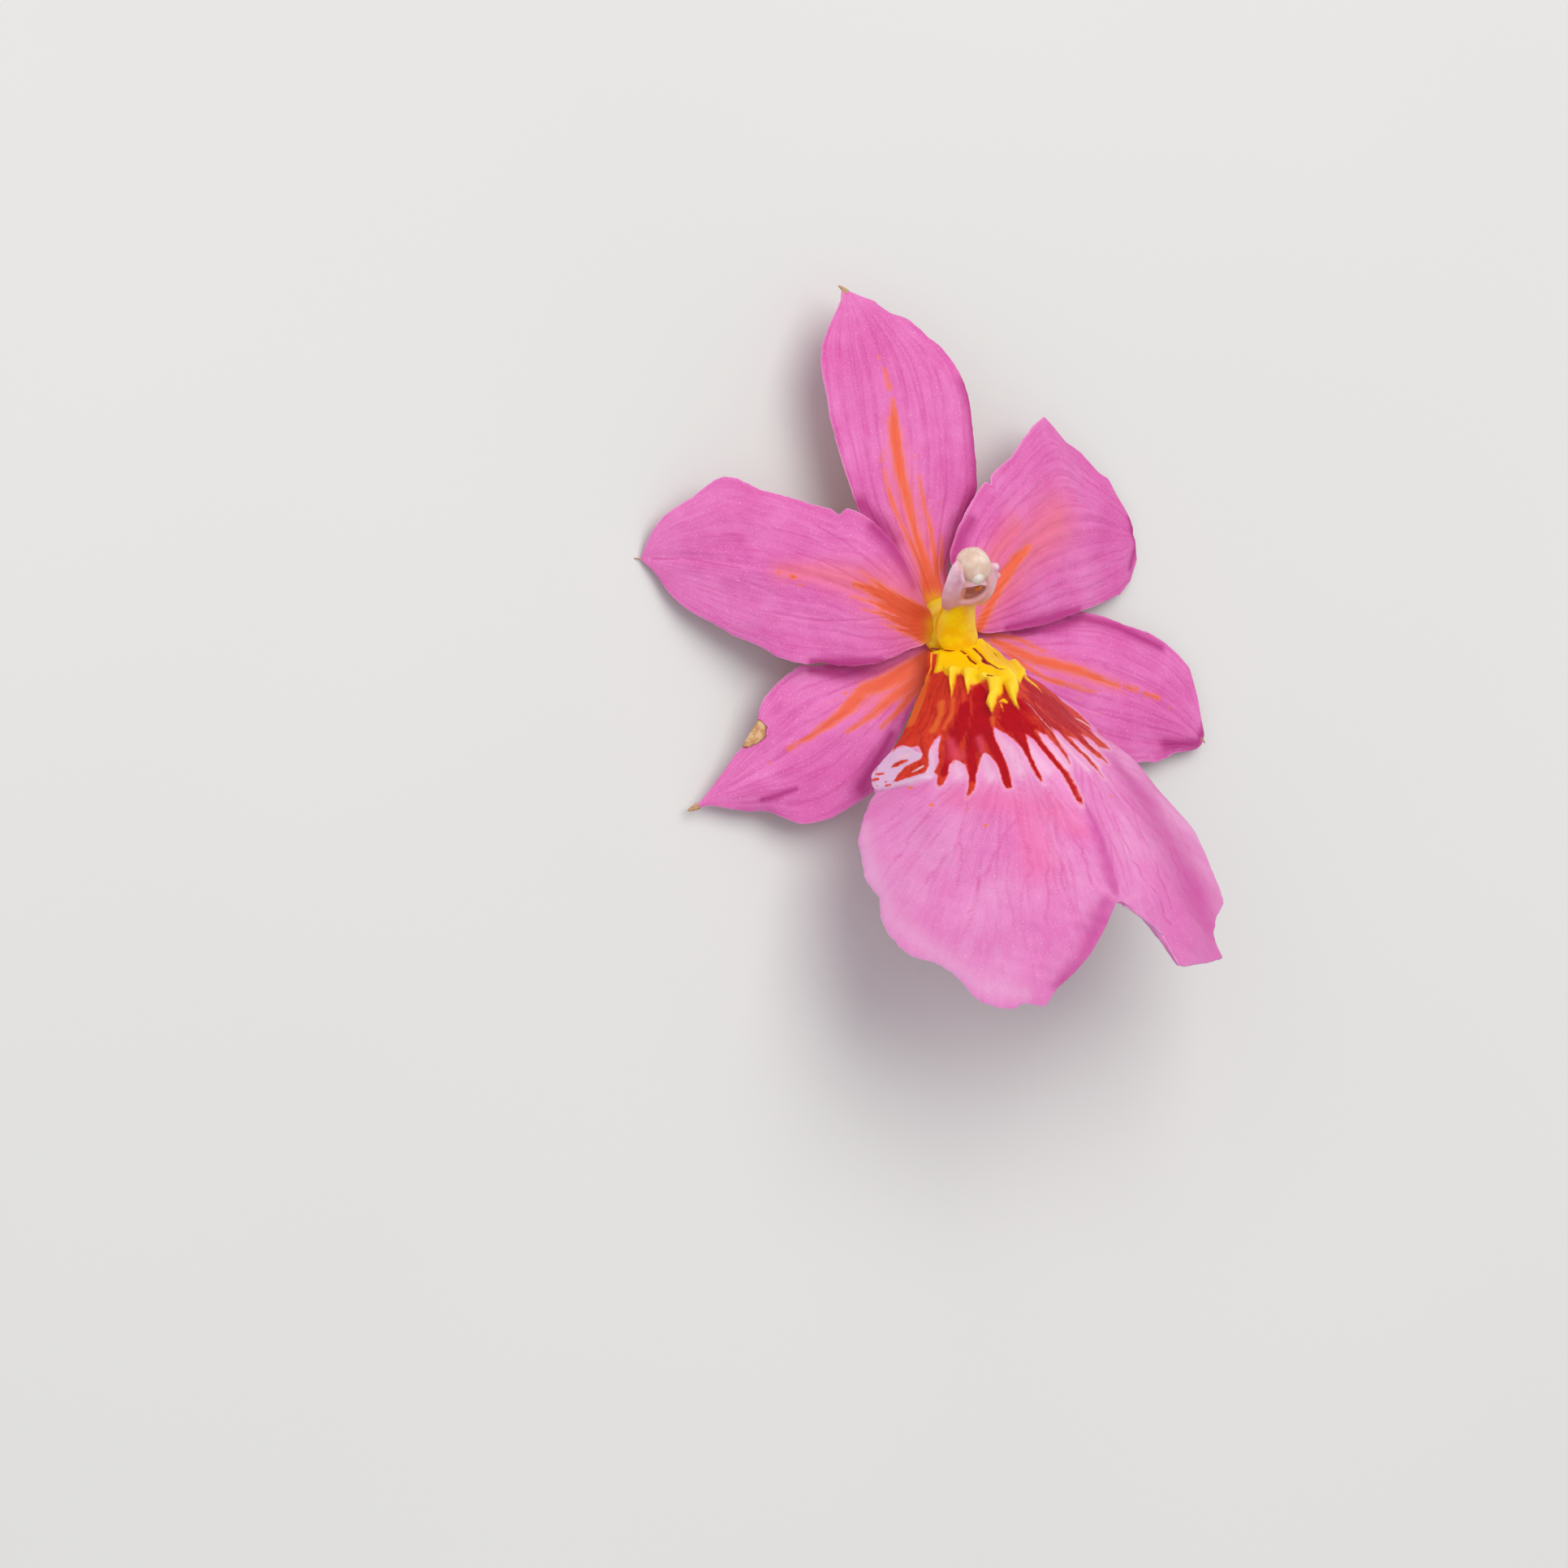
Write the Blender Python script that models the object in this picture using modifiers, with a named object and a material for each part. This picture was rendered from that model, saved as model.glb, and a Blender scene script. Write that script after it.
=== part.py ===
"""One pink hybrid orchid flower, picked, lying face up on a surface.

Lengths are in millimetres in the flower's own frame: the middle of the flower is the zero point, +X is to
the right as one looks into the face, +Y points along the upright (dorsal) sepal and +Z points out of the
face. The whole flower is then lifted by FLOWER_MIDDLE, so that its low points, the two petal tips and the
stalk's end, rest on the surface.
"""

import math

import bmesh
import bpy
from mathutils import Matrix, Vector

MM = 0.001

# Place of the flower's middle above the origin, which is on the surface under the whole flower's middle.
FLOWER_MIDDLE = (0.0, 1.8, 9.5)

# Blades: how thick they are, and how finely they are divided.
TEPAL_THICKNESS = 0.8
LIP_THICKNESS = 0.9
TEPAL_ROWS = 24
TEPAL_COLUMNS = 12
LIP_ROWS = 32
LIP_COLUMNS = 24

# Each blade is a ladder of rungs from its base to its tip. A rung is (one margin, midrib, other margin).
DORSAL_SEPAL = (
    ((-1.9, 2.3, -1.7), (-0.1, 2.6, -1.6), (1.8, 2.3, -1.7)),
    ((-3.0, 7.0, -1.9), (-0.8, 7.2, -1.6), (2.6, 7.0, -1.9)),
    ((-4.8, 11.3, -2.1), (-1.2, 11.5, -1.7), (5.0, 11.3, -2.1)),
    ((-6.6, 16.0, -2.1), (-0.9, 16.5, -1.7), (8.0, 15.6, -1.9)),
    ((-6.9, 21.0, -2.0), (0.2, 21.5, -1.8), (9.9, 20.5, -1.5)),
    ((-6.3, 26.0, -2.4), (1.2, 26.5, -2.0), (10.6, 25.8, -1.8)),
    ((-5.4, 31.0, -2.9), (1.7, 31.3, -2.4), (9.4, 30.3, -2.5)),
    ((-3.5, 35.2, -3.3), (1.5, 35.3, -2.9), (5.8, 34.4, -3.2)),
    ((-1.2, 38.2, -3.4), (0.8, 38.0, -3.3), (2.9, 37.2, -3.5)),
    ((0.0, 39.6, -3.4), (0.0, 39.6, -3.4), (0.0, 39.6, -3.4)),
)
PETAL_LEFT = (
    ((-2.5, 2.4, 0.3), (-2.5, 1.0, 0.3), (-2.5, -0.6, 0.2)),
    ((-3.4, 7.0, 0.6), (-5.2, 2.9, 0.5), (-5.2, -1.4, -0.2)),
    ((-5.1, 12.0, 0.8), (-8.0, 5.0, 0.4), (-8.2, -1.8, -0.6)),
    ((-7.3, 15.5, 0.5), (-10.4, 6.8, 0.1), (-10.6, -1.5, -1.1)),
    ((-9.8, 15.1, -0.2), (-12.6, 8.3, -0.5), (-12.8, -1.0, -1.6)),
    ((-13.0, 17.7, -1.2), (-15.2, 9.9, -1.2), (-15.6, -0.2, -2.3)),
    ((-16.6, 20.2, -2.4), (-18.3, 11.6, -2.2), (-18.8, 1.2, -3.3)),
    ((-20.4, 22.7, -4.0), (-21.4, 13.1, -3.5), (-22.0, 3.7, -4.6)),
    ((-24.2, 22.0, -5.8), (-24.5, 14.5, -5.2), (-25.0, 7.0, -6.0)),
    ((-27.6, 19.9, -7.6), (-27.6, 15.7, -7.2), (-27.9, 10.6, -7.6)),
    ((-30.4, 16.3, -9.1), (-30.4, 16.3, -9.1), (-30.4, 16.3, -9.1)),
)
PETAL_RIGHT = (
    ((2.5, 2.4, 0.3), (2.5, 1.0, 0.3), (2.5, -0.6, 0.2)),
    ((2.6, 6.6, 0.5), (5.2, 2.6, 0.4), (5.2, -1.3, -0.4)),
    ((4.4, 11.4, 0.7), (8.0, 4.5, 0.2), (8.4, -1.7, -1.3)),
    ((7.4, 14.1, 0.5), (10.4, 5.9, -0.2), (10.9, -1.9, -2.2)),
    ((9.9, 14.6, -0.1), (12.6, 6.9, -0.9), (13.3, -2.0, -2.9)),
    ((13.4, 16.6, -1.1), (15.2, 7.7, -1.8), (16.2, -2.0, -3.9)),
    ((17.0, 18.8, -2.4), (18.2, 8.1, -2.9), (19.6, -1.9, -5.1)),
    ((20.5, 20.2, -3.8), (21.2, 8.1, -4.2), (22.9, -1.4, -6.4)),
    ((24.2, 15.8, -5.7), (24.5, 7.5, -5.7), (26.0, -0.6, -7.6)),
    ((27.6, 11.9, -7.3), (27.7, 6.2, -7.3), (28.6, 1.0, -8.6)),
    ((30.2, 7.4, -8.5), (30.7, 5.0, -8.9), (30.4, 2.8, -9.1)),
)
LATERAL_SEPAL_LEFT = (
    ((-2.5, -0.2, -1.8), (-2.1, -1.7, -1.7), (-1.4, -2.7, -1.7)),
    ((-6.0, -0.9, -2.3), (-6.3, -3.4, -2.0), (-5.2, -6.6, -2.2)),
    ((-10.0, -0.6, -3.1), (-10.2, -5.0, -2.6), (-8.8, -10.6, -2.6)),
    ((-14.0, -0.3, -4.0), (-14.0, -6.3, -3.3), (-12.6, -14.0, -3.4)),
    ((-17.6, -0.2, -4.8), (-17.8, -7.6, -4.0), (-16.6, -16.4, -4.4)),
    ((-20.6, -1.3, -5.4), (-21.3, -8.7, -4.8), (-20.8, -16.9, -5.6)),
    ((-23.4, -3.6, -6.0), (-24.6, -9.6, -5.7), (-24.2, -14.8, -6.5)),
    ((-26.2, -6.9, -6.7), (-27.5, -10.4, -6.6), (-27.4, -13.6, -7.2)),
    ((-29.4, -9.9, -7.5), (-30.2, -11.1, -7.4), (-30.2, -12.3, -7.7)),
    ((-32.6, -11.9, -8.0), (-32.6, -11.9, -8.0), (-32.6, -11.9, -8.0)),
)
LATERAL_SEPAL_RIGHT = (
    ((2.5, -0.2, -1.8), (2.1, -1.7, -1.7), (1.4, -2.7, -1.7)),
    ((6.0, -1.2, -2.7), (6.4, -4.1, -2.1), (5.2, -6.8, -2.2)),
    ((10.0, -1.3, -3.8), (10.2, -6.0, -2.8), (8.8, -10.8, -2.7)),
    ((14.2, -1.3, -5.0), (14.0, -7.6, -3.6), (12.6, -14.6, -3.6)),
    ((18.4, -1.7, -5.9), (17.8, -9.1, -4.3), (16.4, -17.6, -4.4)),
    ((22.2, -3.1, -6.3), (21.5, -10.9, -5.0), (19.9, -19.4, -5.3)),
    ((26.4, -5.5, -6.6), (25.0, -13.0, -5.8), (23.6, -20.0, -6.3)),
    ((30.0, -9.2, -7.1), (28.2, -15.4, -6.5), (26.8, -19.8, -7.1)),
    ((32.2, -13.8, -7.7), (30.5, -17.8, -7.3), (29.4, -19.8, -7.7)),
    ((32.1, -17.8, -8.0), (31.9, -19.3, -8.0), (31.0, -19.8, -8.0)),
)
# The lip has a small lobe (auricle) on each side of its base, two broad lobes, and a deep notch at its end.
LIP = (
    ((-3.1, -1.9, 0.4), (0.0, -2.5, 0.6), (3.1, -1.9, 0.4)),
    ((-3.8, -3.7, 0.5), (0.0, -3.6, 3.2), (3.8, -3.7, 0.5)),
    ((-6.7, -6.8, 0.7), (0.0, -4.9, 5.8), (6.7, -6.8, 0.7)),
    ((-10.3, -10.0, 0.9), (0.0, -6.6, 8.3), (10.3, -10.0, 0.9)),
    ((-14.2, -12.8, -0.2), (0.0, -8.8, 10.7), (14.0, -13.4, -0.2)),
    ((-14.6, -15.8, 0.4), (0.0, -11.4, 12.9), (14.9, -16.4, 0.2)),
    ((-17.8, -18.9, 1.2), (0.0, -14.2, 14.9), (17.8, -19.2, 0.8)),
    ((-19.8, -23.6, 2.7), (0.0, -17.2, 16.7), (19.2, -23.4, 2.1)),
    ((-20.8, -28.6, 5.2), (0.0, -20.3, 18.1), (20.1, -28.8, 4.6)),
    ((-20.2, -33.2, 9.0), (0.0, -23.3, 19.2), (18.9, -33.6, 8.4)),
    ((-17.4, -37.4, 12.8), (0.0, -26.1, 20.0), (17.6, -37.2, 11.2)),
    ((-14.6, -41.4, 15.0), (0.0, -28.5, 20.4), (14.0, -40.6, 14.2)),
    ((-10.8, -43.2, 16.5), (0.0, -30.4, 20.7), (13.3, -43.1, 15.6)),
    ((-7.2, -41.4, 17.8), (0.0, -31.9, 20.8), (7.4, -42.5, 17.5)),
    ((-3.5, -38.0, 20.0), (0.0, -33.1, 20.8), (5.0, -38.4, 19.4)),
    ((-0.4, -34.4, 20.7), (0.0, -33.9, 20.7), (0.8, -34.4, 20.7)),
)

# How sharply a blade folds along its midrib (0 is a smooth trough, 1 a crease), and how its margins ripple.
TEPAL_FOLD = 0.25
LIP_FOLD = 0.55
TEPAL_RIPPLE = 0.25
TEPAL_WAVES = 3.5
LIP_RIPPLE = 0.35
LIP_WAVES = 5.5
MARGIN_LAG = 1.3

# The raised yellow ridges at the lip's base. A ridge is (first place, last place, place across, radius).
CALLUS_RIDGES = (
    (0.03, 0.29, -0.135, 0.65),
    (0.03, 0.31, -0.045, 0.55),
    (0.03, 0.31, 0.045, 0.55),
    (0.03, 0.29, 0.135, 0.65),
)
RIDGE_RINGS = 13
RIDGE_SIDES = 10
RIDGE_TAPER = 0.4
RIDGE_LIFT = 0.35
TOOTH_LIFT = 0.35

# The column leans towards the upright sepal. A ring is (Y, Z, half width, half depth).
COLUMN_RINGS = (
    (-0.45, 0.05, 2.10, 1.55),
    (0.00, 0.80, 2.15, 1.60),
    (1.10, 2.20, 2.10, 1.50),
    (2.50, 3.90, 2.00, 1.40),
    (3.80, 5.80, 2.05, 1.50),
    (4.85, 7.93, 2.20, 1.65),
    (5.27, 8.53, 2.10, 1.60),
    (5.55, 8.93, 1.95, 1.50),
)
COLUMN_TOP = (0.0, 5.55, 8.93)
COLUMN_TILT = math.radians(35)
COLUMN_SIDES = 20
WING_SIZE = (1.2, 0.36, 2.6)
WING_PLACES = ((-2.55, -2.0, -0.1), (2.6, -2.5, 0.1))
WING_LEAN = math.radians(16)
WING_SWEEP = math.radians(26)
STIGMA_SIZE = (1.6, 1.2, 1.4)
STIGMA_FRONT = 2.1
STIGMA_BELOW = 2.6

# The anther cap sits on the column's end, with its beak over the stigma.
CAP_SIZE = (1.9, 2.1, 1.95)
CAP_LIFT = 0.3
CAP_BACK = 0.4
CAP_SEGMENTS = 24
CAP_RINGS = 14
BEAK_LENGTH = 0.9
BEAK_NARROWING = 0.45

# The pollinarium lies in a slot across the column's end, under the cap.
SLOT_SIZE = (1.45, 2.6, 0.8)
SLOT_FRONT = 1.5
POLLEN_SIZE = (0.55, 0.75, 0.28)
POLLEN_PLACES = ((-0.47, -0.33, -0.11), (0.43, -0.37, -0.08))
POLLEN_SPLAYS = (math.radians(9), math.radians(-6))
STRAP_SIZE = (0.5, 1.3, 0.24)
STRAP_PLACE = (0.0, -0.35, 0.5)
STRAP_TURN = math.radians(4)
PAD_SIZE = (0.42, 0.42, 0.25)
PAD_PLACE = (0.03, -0.36, 1.7)

# The ovary and the stalk it narrows into: (X, Y, Z, radius) from the flower's back to the cut end.
STALK_POINTS = (
    (0.0, 0.1, -1.05, 1.95),
    (0.0, 0.0, -2.0, 2.05),
    (0.0, -0.4, -3.6, 1.90),
    (0.0, -1.5, -5.3, 1.75),
    (0.1, -3.9, -7.1, 1.65),
    (0.3, -7.4, -7.9, 1.55),
    (0.6, -12.0, -8.0, 1.42),
    (1.0, -17.5, -8.15, 1.30),
    (1.5, -23.5, -8.25, 1.22),
    (2.1, -30.0, -8.25, 1.25),
)
STALK_SECTIONS = 34
STALK_SIDES = 24
OVARY_RIBS = 6
RIB_DEPTH = 0.10
RIBBED_SHARE = 0.62

PINK = (0.76, 0.17, 0.48, 1.0)
LIP_PINK = (0.80, 0.28, 0.56, 1.0)
COLUMN_PINK = (0.80, 0.55, 0.62, 1.0)
CREAM = (0.78, 0.60, 0.48, 1.0)
AMBER = (0.75, 0.28, 0.04, 1.0)
GREEN = (0.36, 0.48, 0.12, 1.0)


def clear_scene():
    for old in list(bpy.data.objects):
        bpy.data.objects.remove(old, do_unlink=True)


def new_collection(name):
    made = bpy.data.collections.new(name)
    bpy.context.scene.collection.children.link(made)
    return made


def new_material(name, colour, roughness):
    material = bpy.data.materials.new(name)
    material.use_nodes = True
    shader = material.node_tree.nodes["Principled BSDF"]
    shader.inputs["Base Color"].default_value = colour
    shader.inputs["Roughness"].default_value = roughness
    shader.inputs["Metallic"].default_value = 0.0
    return material


def along(points, place):
    """The point at place (0 to 1) on a smooth curve through the points."""
    spans = len(points) - 1
    t = min(max(place, 0.0), 1.0) * spans
    k = min(int(t), spans - 1)
    t -= k
    neighbours = (points[max(k - 1, 0)], points[k], points[k + 1], points[min(k + 2, spans)])
    found = []
    for a, b, c, d in zip(*neighbours):
        found.append(b + 0.5 * t * (c - a + t * (2 * a - 5 * b + 4 * c - d + t * (3 * b - a - 3 * c + d))))
    return Vector(found)


def blade_point(rungs, place, across, fold, ripple=0.0, waves=0.0):
    """place runs from the blade's base (0) to its tip (1), across from one margin (-1) to the other (1)."""
    one, middle, other = (along([rung[k] for rung in rungs], place) for k in range(3))
    curved = one * across * (across - 1) / 2 + middle * (1 - across**2)
    curved += other * across * (across + 1) / 2
    side = other if across > 0 else one
    point = curved.lerp(middle.lerp(side, abs(across)), fold)
    phase = 2 * math.pi * waves * place + (MARGIN_LAG if across > 0 else 0.0)
    point.z += ripple * abs(across) ** 3 * math.sin(phase) * math.sin(math.pi * place)
    return point


def mesh_object(name, shape, collection, material=None):
    """Makes an object from a bmesh in the flower's frame. With no material it only cuts or joins another."""
    middle = Vector(FLOWER_MIDDLE)
    for vertex in shape.verts:
        vertex.co = (vertex.co + middle) * MM
    bmesh.ops.recalc_face_normals(shape, faces=shape.faces)
    data = bpy.data.meshes.new(name)
    shape.to_mesh(data)
    shape.free()
    made = bpy.data.objects.new(name, data)
    collection.objects.link(made)
    if material:
        data.materials.append(material)
        data.shade_smooth()
        data.set_sharp_from_angle(angle=math.radians(40))
    else:
        made.hide_render = True
        made.display_type = "WIRE"
    return made


def blade(name, rungs, rows, columns, thickness, fold, ripple, waves, material, collection):
    """A surface lofted over the rungs, which Solidify makes thick. Its triangles mirror at the midrib."""
    shape = bmesh.new()
    grid = []
    for i in range(rows + 1):
        line = []
        for j in range(columns + 1):
            point = blade_point(rungs, i / rows, 2 * j / columns - 1, fold, ripple, waves)
            line.append(shape.verts.new(point))
        grid.append(line)
    for i in range(rows):
        for j in range(columns):
            a, b = grid[i][j], grid[i][j + 1]
            c, d = grid[i + 1][j + 1], grid[i + 1][j]
            if j < columns / 2:
                shape.faces.new((a, b, d))
                shape.faces.new((b, c, d))
            else:
                shape.faces.new((a, b, c))
                shape.faces.new((a, c, d))
    bmesh.ops.remove_doubles(shape, verts=shape.verts, dist=0.02)
    made = mesh_object(name, shape, collection, material)
    shell = made.modifiers.new("thickness", "SOLIDIFY")
    shell.thickness = thickness * MM
    shell.offset = 0.0
    return made


def tube(rings):
    """A closed loft over rings of points, with a flat face at each end."""
    shape = bmesh.new()
    made = [[shape.verts.new(point) for point in ring] for ring in rings]
    sides = len(made[0])
    for low, high in zip(made, made[1:]):
        for k in range(sides):
            n = (k + 1) % sides
            shape.faces.new((low[k], low[n], high[n], high[k]))
    shape.faces.new(list(reversed(made[0])))
    shape.faces.new(made[-1])
    return shape


def ring_round(centre, across, deep, sides, reach=lambda angle: 1.0):
    """Points round a centre. The vectors across and deep are the ring's half width and half depth."""
    points = []
    for k in range(sides):
        angle = 2 * math.pi * k / sides
        points.append(centre + (across * math.cos(angle) + deep * math.sin(angle)) * reach(angle))
    return points


def ellipsoid(size, frame, segments=16, rings=10):
    shape = bmesh.new()
    bmesh.ops.create_uvsphere(shape, u_segments=segments, v_segments=rings, radius=1.0)
    bmesh.ops.transform(shape, matrix=frame @ Matrix.Diagonal((*size, 1.0)), verts=shape.verts)
    return shape


def box(size, frame):
    shape = bmesh.new()
    bmesh.ops.create_cube(shape, size=2.0)
    bmesh.ops.transform(shape, matrix=frame @ Matrix.Diagonal((*size, 1.0)), verts=shape.verts)
    return shape


def boolean(target, operation, others):
    for other in others:
        step = target.modifiers.new(other.name, "BOOLEAN")
        step.operation = operation
        step.solver = "EXACT"
        step.object = other


def apply_modifiers(source, name, material, collection):
    """Replaces the object by a plain one that has its modifiers applied."""
    graph = bpy.context.evaluated_depsgraph_get()
    data = bpy.data.meshes.new_from_object(source.evaluated_get(graph))
    bpy.data.objects.remove(source, do_unlink=True)
    data.name = name
    data.materials.clear()
    data.materials.append(material)
    collection.objects.link(bpy.data.objects.new(name, data))


def column_frame(side=0.0, up=0.0, front=0.0):
    """A frame at the column's end: X across, Y to its lip side, Z along it, moved by these offsets."""
    axis = Vector((0.0, math.sin(COLUMN_TILT), math.cos(COLUMN_TILT)))
    front_way = Vector((0.0, -math.cos(COLUMN_TILT), math.sin(COLUMN_TILT)))
    side_way = front_way.cross(axis)
    turn = Matrix((side_way, front_way, axis)).transposed().to_4x4()
    origin = Vector(COLUMN_TOP) + side_way * side + front_way * front + axis * up
    return Matrix.Translation(origin) @ turn


def make_tepals(flower):
    pink = new_material("tepal_pink", PINK, 0.55)
    ladders = {
        "dorsal_sepal": DORSAL_SEPAL,
        "lateral_sepal_left": LATERAL_SEPAL_LEFT,
        "lateral_sepal_right": LATERAL_SEPAL_RIGHT,
        "petal_left": PETAL_LEFT,
        "petal_right": PETAL_RIGHT,
    }
    for name, rungs in ladders.items():
        blade(
            name, rungs, TEPAL_ROWS, TEPAL_COLUMNS, TEPAL_THICKNESS,
            TEPAL_FOLD, TEPAL_RIPPLE, TEPAL_WAVES, pink, flower,
        )


def callus_ridge(name, first, last, across, radius, cutters):
    """A ridge that lies half sunk in the lip's base and ends in a low tooth."""
    rings = []
    for number in range(RIDGE_RINGS):
        share = number / (RIDGE_RINGS - 1)
        place = first + (last - first) * share
        here = blade_point(LIP, place, across, LIP_FOLD)
        run = (blade_point(LIP, place + 0.01, across, LIP_FOLD) - here).normalized()
        beside = blade_point(LIP, place, across + 0.02, LIP_FOLD) - here
        outward = beside.cross(run).normalized()
        if outward.z < 0:
            outward.negate()
        swelling = math.sin(math.pi * (0.1 + 0.8 * share))
        thickness = radius * (RIDGE_TAPER + (1.0 - RIDGE_TAPER) * swelling)
        centre = here + outward * (RIDGE_LIFT + TOOTH_LIFT * share**3)
        rings.append(ring_round(centre, outward.cross(run) * thickness, outward * thickness, RIDGE_SIDES))
    return mesh_object(name, tube(rings), cutters)


def make_lip(flower, cutters):
    pink = new_material("lip_pink", LIP_PINK, 0.55)
    sheet = blade(
        "lip_sheet", LIP, LIP_ROWS, LIP_COLUMNS, LIP_THICKNESS,
        LIP_FOLD, LIP_RIPPLE, LIP_WAVES, pink, flower,
    )
    ridges = []
    for number, ridge in enumerate(CALLUS_RIDGES):
        ridges.append(callus_ridge(f"callus_ridge_{number}", *ridge, cutters))
    boolean(sheet, "UNION", ridges)
    apply_modifiers(sheet, "lip", pink, flower)
    for ridge in ridges:
        bpy.data.objects.remove(ridge, do_unlink=True)


def make_column(flower, cutters):
    """The column with its two wings, the stigma's hollow between them, and the slot for the pollinarium."""
    pink = new_material("column_pink", COLUMN_PINK, 0.45)
    rings = []
    for number, (y, z, half_width, half_depth) in enumerate(COLUMN_RINGS):
        before = COLUMN_RINGS[max(number - 1, 0)]
        after = COLUMN_RINGS[min(number + 1, len(COLUMN_RINGS) - 1)]
        axis = Vector((0.0, after[0] - before[0], after[1] - before[1])).normalized()
        across = Vector((1.0, 0.0, 0.0))
        deep = across.cross(axis) * half_depth
        rings.append(ring_round(Vector((0.0, y, z)), across * half_width, deep, COLUMN_SIDES))
    stem = mesh_object("column_stem", tube(rings), flower, pink)
    wings = []
    for side, up, front in WING_PLACES:
        sweep = math.copysign(WING_SWEEP, -side)
        turn = Matrix.Rotation(WING_LEAN, 4, "X") @ Matrix.Rotation(sweep, 4, "Z")
        frame = column_frame(side, up, front) @ turn
        wings.append(mesh_object(f"wing_{side:+.1f}", ellipsoid(WING_SIZE, frame), cutters))
    hollow = ellipsoid(STIGMA_SIZE, column_frame(0.0, -STIGMA_BELOW, STIGMA_FRONT))
    slot = box(SLOT_SIZE, column_frame(0.0, 0.0, SLOT_FRONT))
    hollows = [mesh_object("stigma_hollow", hollow, cutters), mesh_object("slot", slot, cutters)]
    boolean(stem, "UNION", wings)
    boolean(stem, "DIFFERENCE", hollows)
    apply_modifiers(stem, "column", pink, flower)
    for wing in wings:
        bpy.data.objects.remove(wing, do_unlink=True)


def make_anther_cap(flower):
    """A dome, flat underneath, whose lip side is drawn out into a blunt beak."""
    cream = new_material("anther_cream", CREAM, 0.4)
    shape = bmesh.new()
    bmesh.ops.create_uvsphere(shape, u_segments=CAP_SEGMENTS, v_segments=CAP_RINGS, radius=1.0)
    for vertex in shape.verts:
        reach = max(vertex.co.y, 0.0)
        vertex.co.x *= CAP_SIZE[0] * (1.0 - BEAK_NARROWING * reach**2)
        vertex.co.y = vertex.co.y * CAP_SIZE[1] + BEAK_LENGTH * reach**3
        vertex.co.z *= CAP_SIZE[2]
    everything = shape.verts[:] + shape.edges[:] + shape.faces[:]
    below = {"plane_co": (0, 0, 0), "plane_no": (0, 0, -1), "clear_outer": True}
    cut = bmesh.ops.bisect_plane(shape, geom=everything, **below)
    rim = [item for item in cut["geom_cut"] if isinstance(item, bmesh.types.BMEdge)]
    bmesh.ops.edgeloop_fill(shape, edges=rim)
    bmesh.ops.transform(shape, matrix=column_frame(0.0, CAP_LIFT, -CAP_BACK), verts=shape.verts)
    mesh_object("anther_cap", shape, flower, cream)


def make_pollinarium(flower, cutters):
    """Two flat pollen masses on a strap that ends in the sticky pad under the beak."""
    amber = new_material("pollen_amber", AMBER, 0.35)
    strap_frame = column_frame(*STRAP_PLACE) @ Matrix.Rotation(STRAP_TURN, 4, "Z")
    strap = mesh_object("strap", ellipsoid(STRAP_SIZE, strap_frame), flower, amber)
    joined = [mesh_object("pad", ellipsoid(PAD_SIZE, column_frame(*PAD_PLACE)), cutters)]
    for place, splay in zip(POLLEN_PLACES, POLLEN_SPLAYS):
        frame = column_frame(*place) @ Matrix.Rotation(splay, 4, "Z")
        joined.append(mesh_object(f"pollen_{place[0]:+.2f}", ellipsoid(POLLEN_SIZE, frame), cutters))
    boolean(strap, "UNION", joined)
    apply_modifiers(strap, "pollinarium", amber, flower)
    for piece in joined:
        bpy.data.objects.remove(piece, do_unlink=True)


def make_pedicel(flower):
    """The ribbed ovary behind the flower and the stalk it was picked with, grown as one piece."""
    green = new_material("stalk_green", GREEN, 0.5)
    rings = []
    for i in range(STALK_SECTIONS + 1):
        place = i / STALK_SECTIONS
        here = along(STALK_POINTS, place)
        run = (along(STALK_POINTS, place + 0.01) - along(STALK_POINTS, place - 0.01)).to_3d().normalized()
        across = Vector((1.0, 0.0, 0.0))
        across = (across - run * across.dot(run)).normalized() * here[3]
        ribbed = RIB_DEPTH * max(1.0 - place / RIBBED_SHARE, 0.0)

        def ribs(angle, ribbed=ribbed):
            return 1.0 + ribbed * math.cos(OVARY_RIBS * angle)

        rings.append(ring_round(here.to_3d(), across, run.cross(across), STALK_SIDES, ribs))
    mesh_object("pedicel", tube(rings), flower, green)


def main():
    clear_scene()
    flower = new_collection("orchid_flower")
    cutters = new_collection("cutters")
    cutters.hide_render = True
    make_tepals(flower)
    make_lip(flower, cutters)
    make_column(flower, cutters)
    make_anther_cap(flower)
    make_pollinarium(flower, cutters)
    make_pedicel(flower)


main()
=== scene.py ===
"""One pink hybrid orchid flower, picked, lying face up on a pale surface.

Lengths are in millimetres in the flower's own frame until a mesh is made: the flower's middle is the zero
point, +X is to the right as one looks into the face, +Y points along the upright sepal and +Z out of the
face. Places of marks and margins are pixels of the photograph, which is 1932 pixels wide and high.
"""

import math
from types import SimpleNamespace

import bmesh
import bpy
import numpy as np
from mathutils import Matrix, Vector


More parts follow.
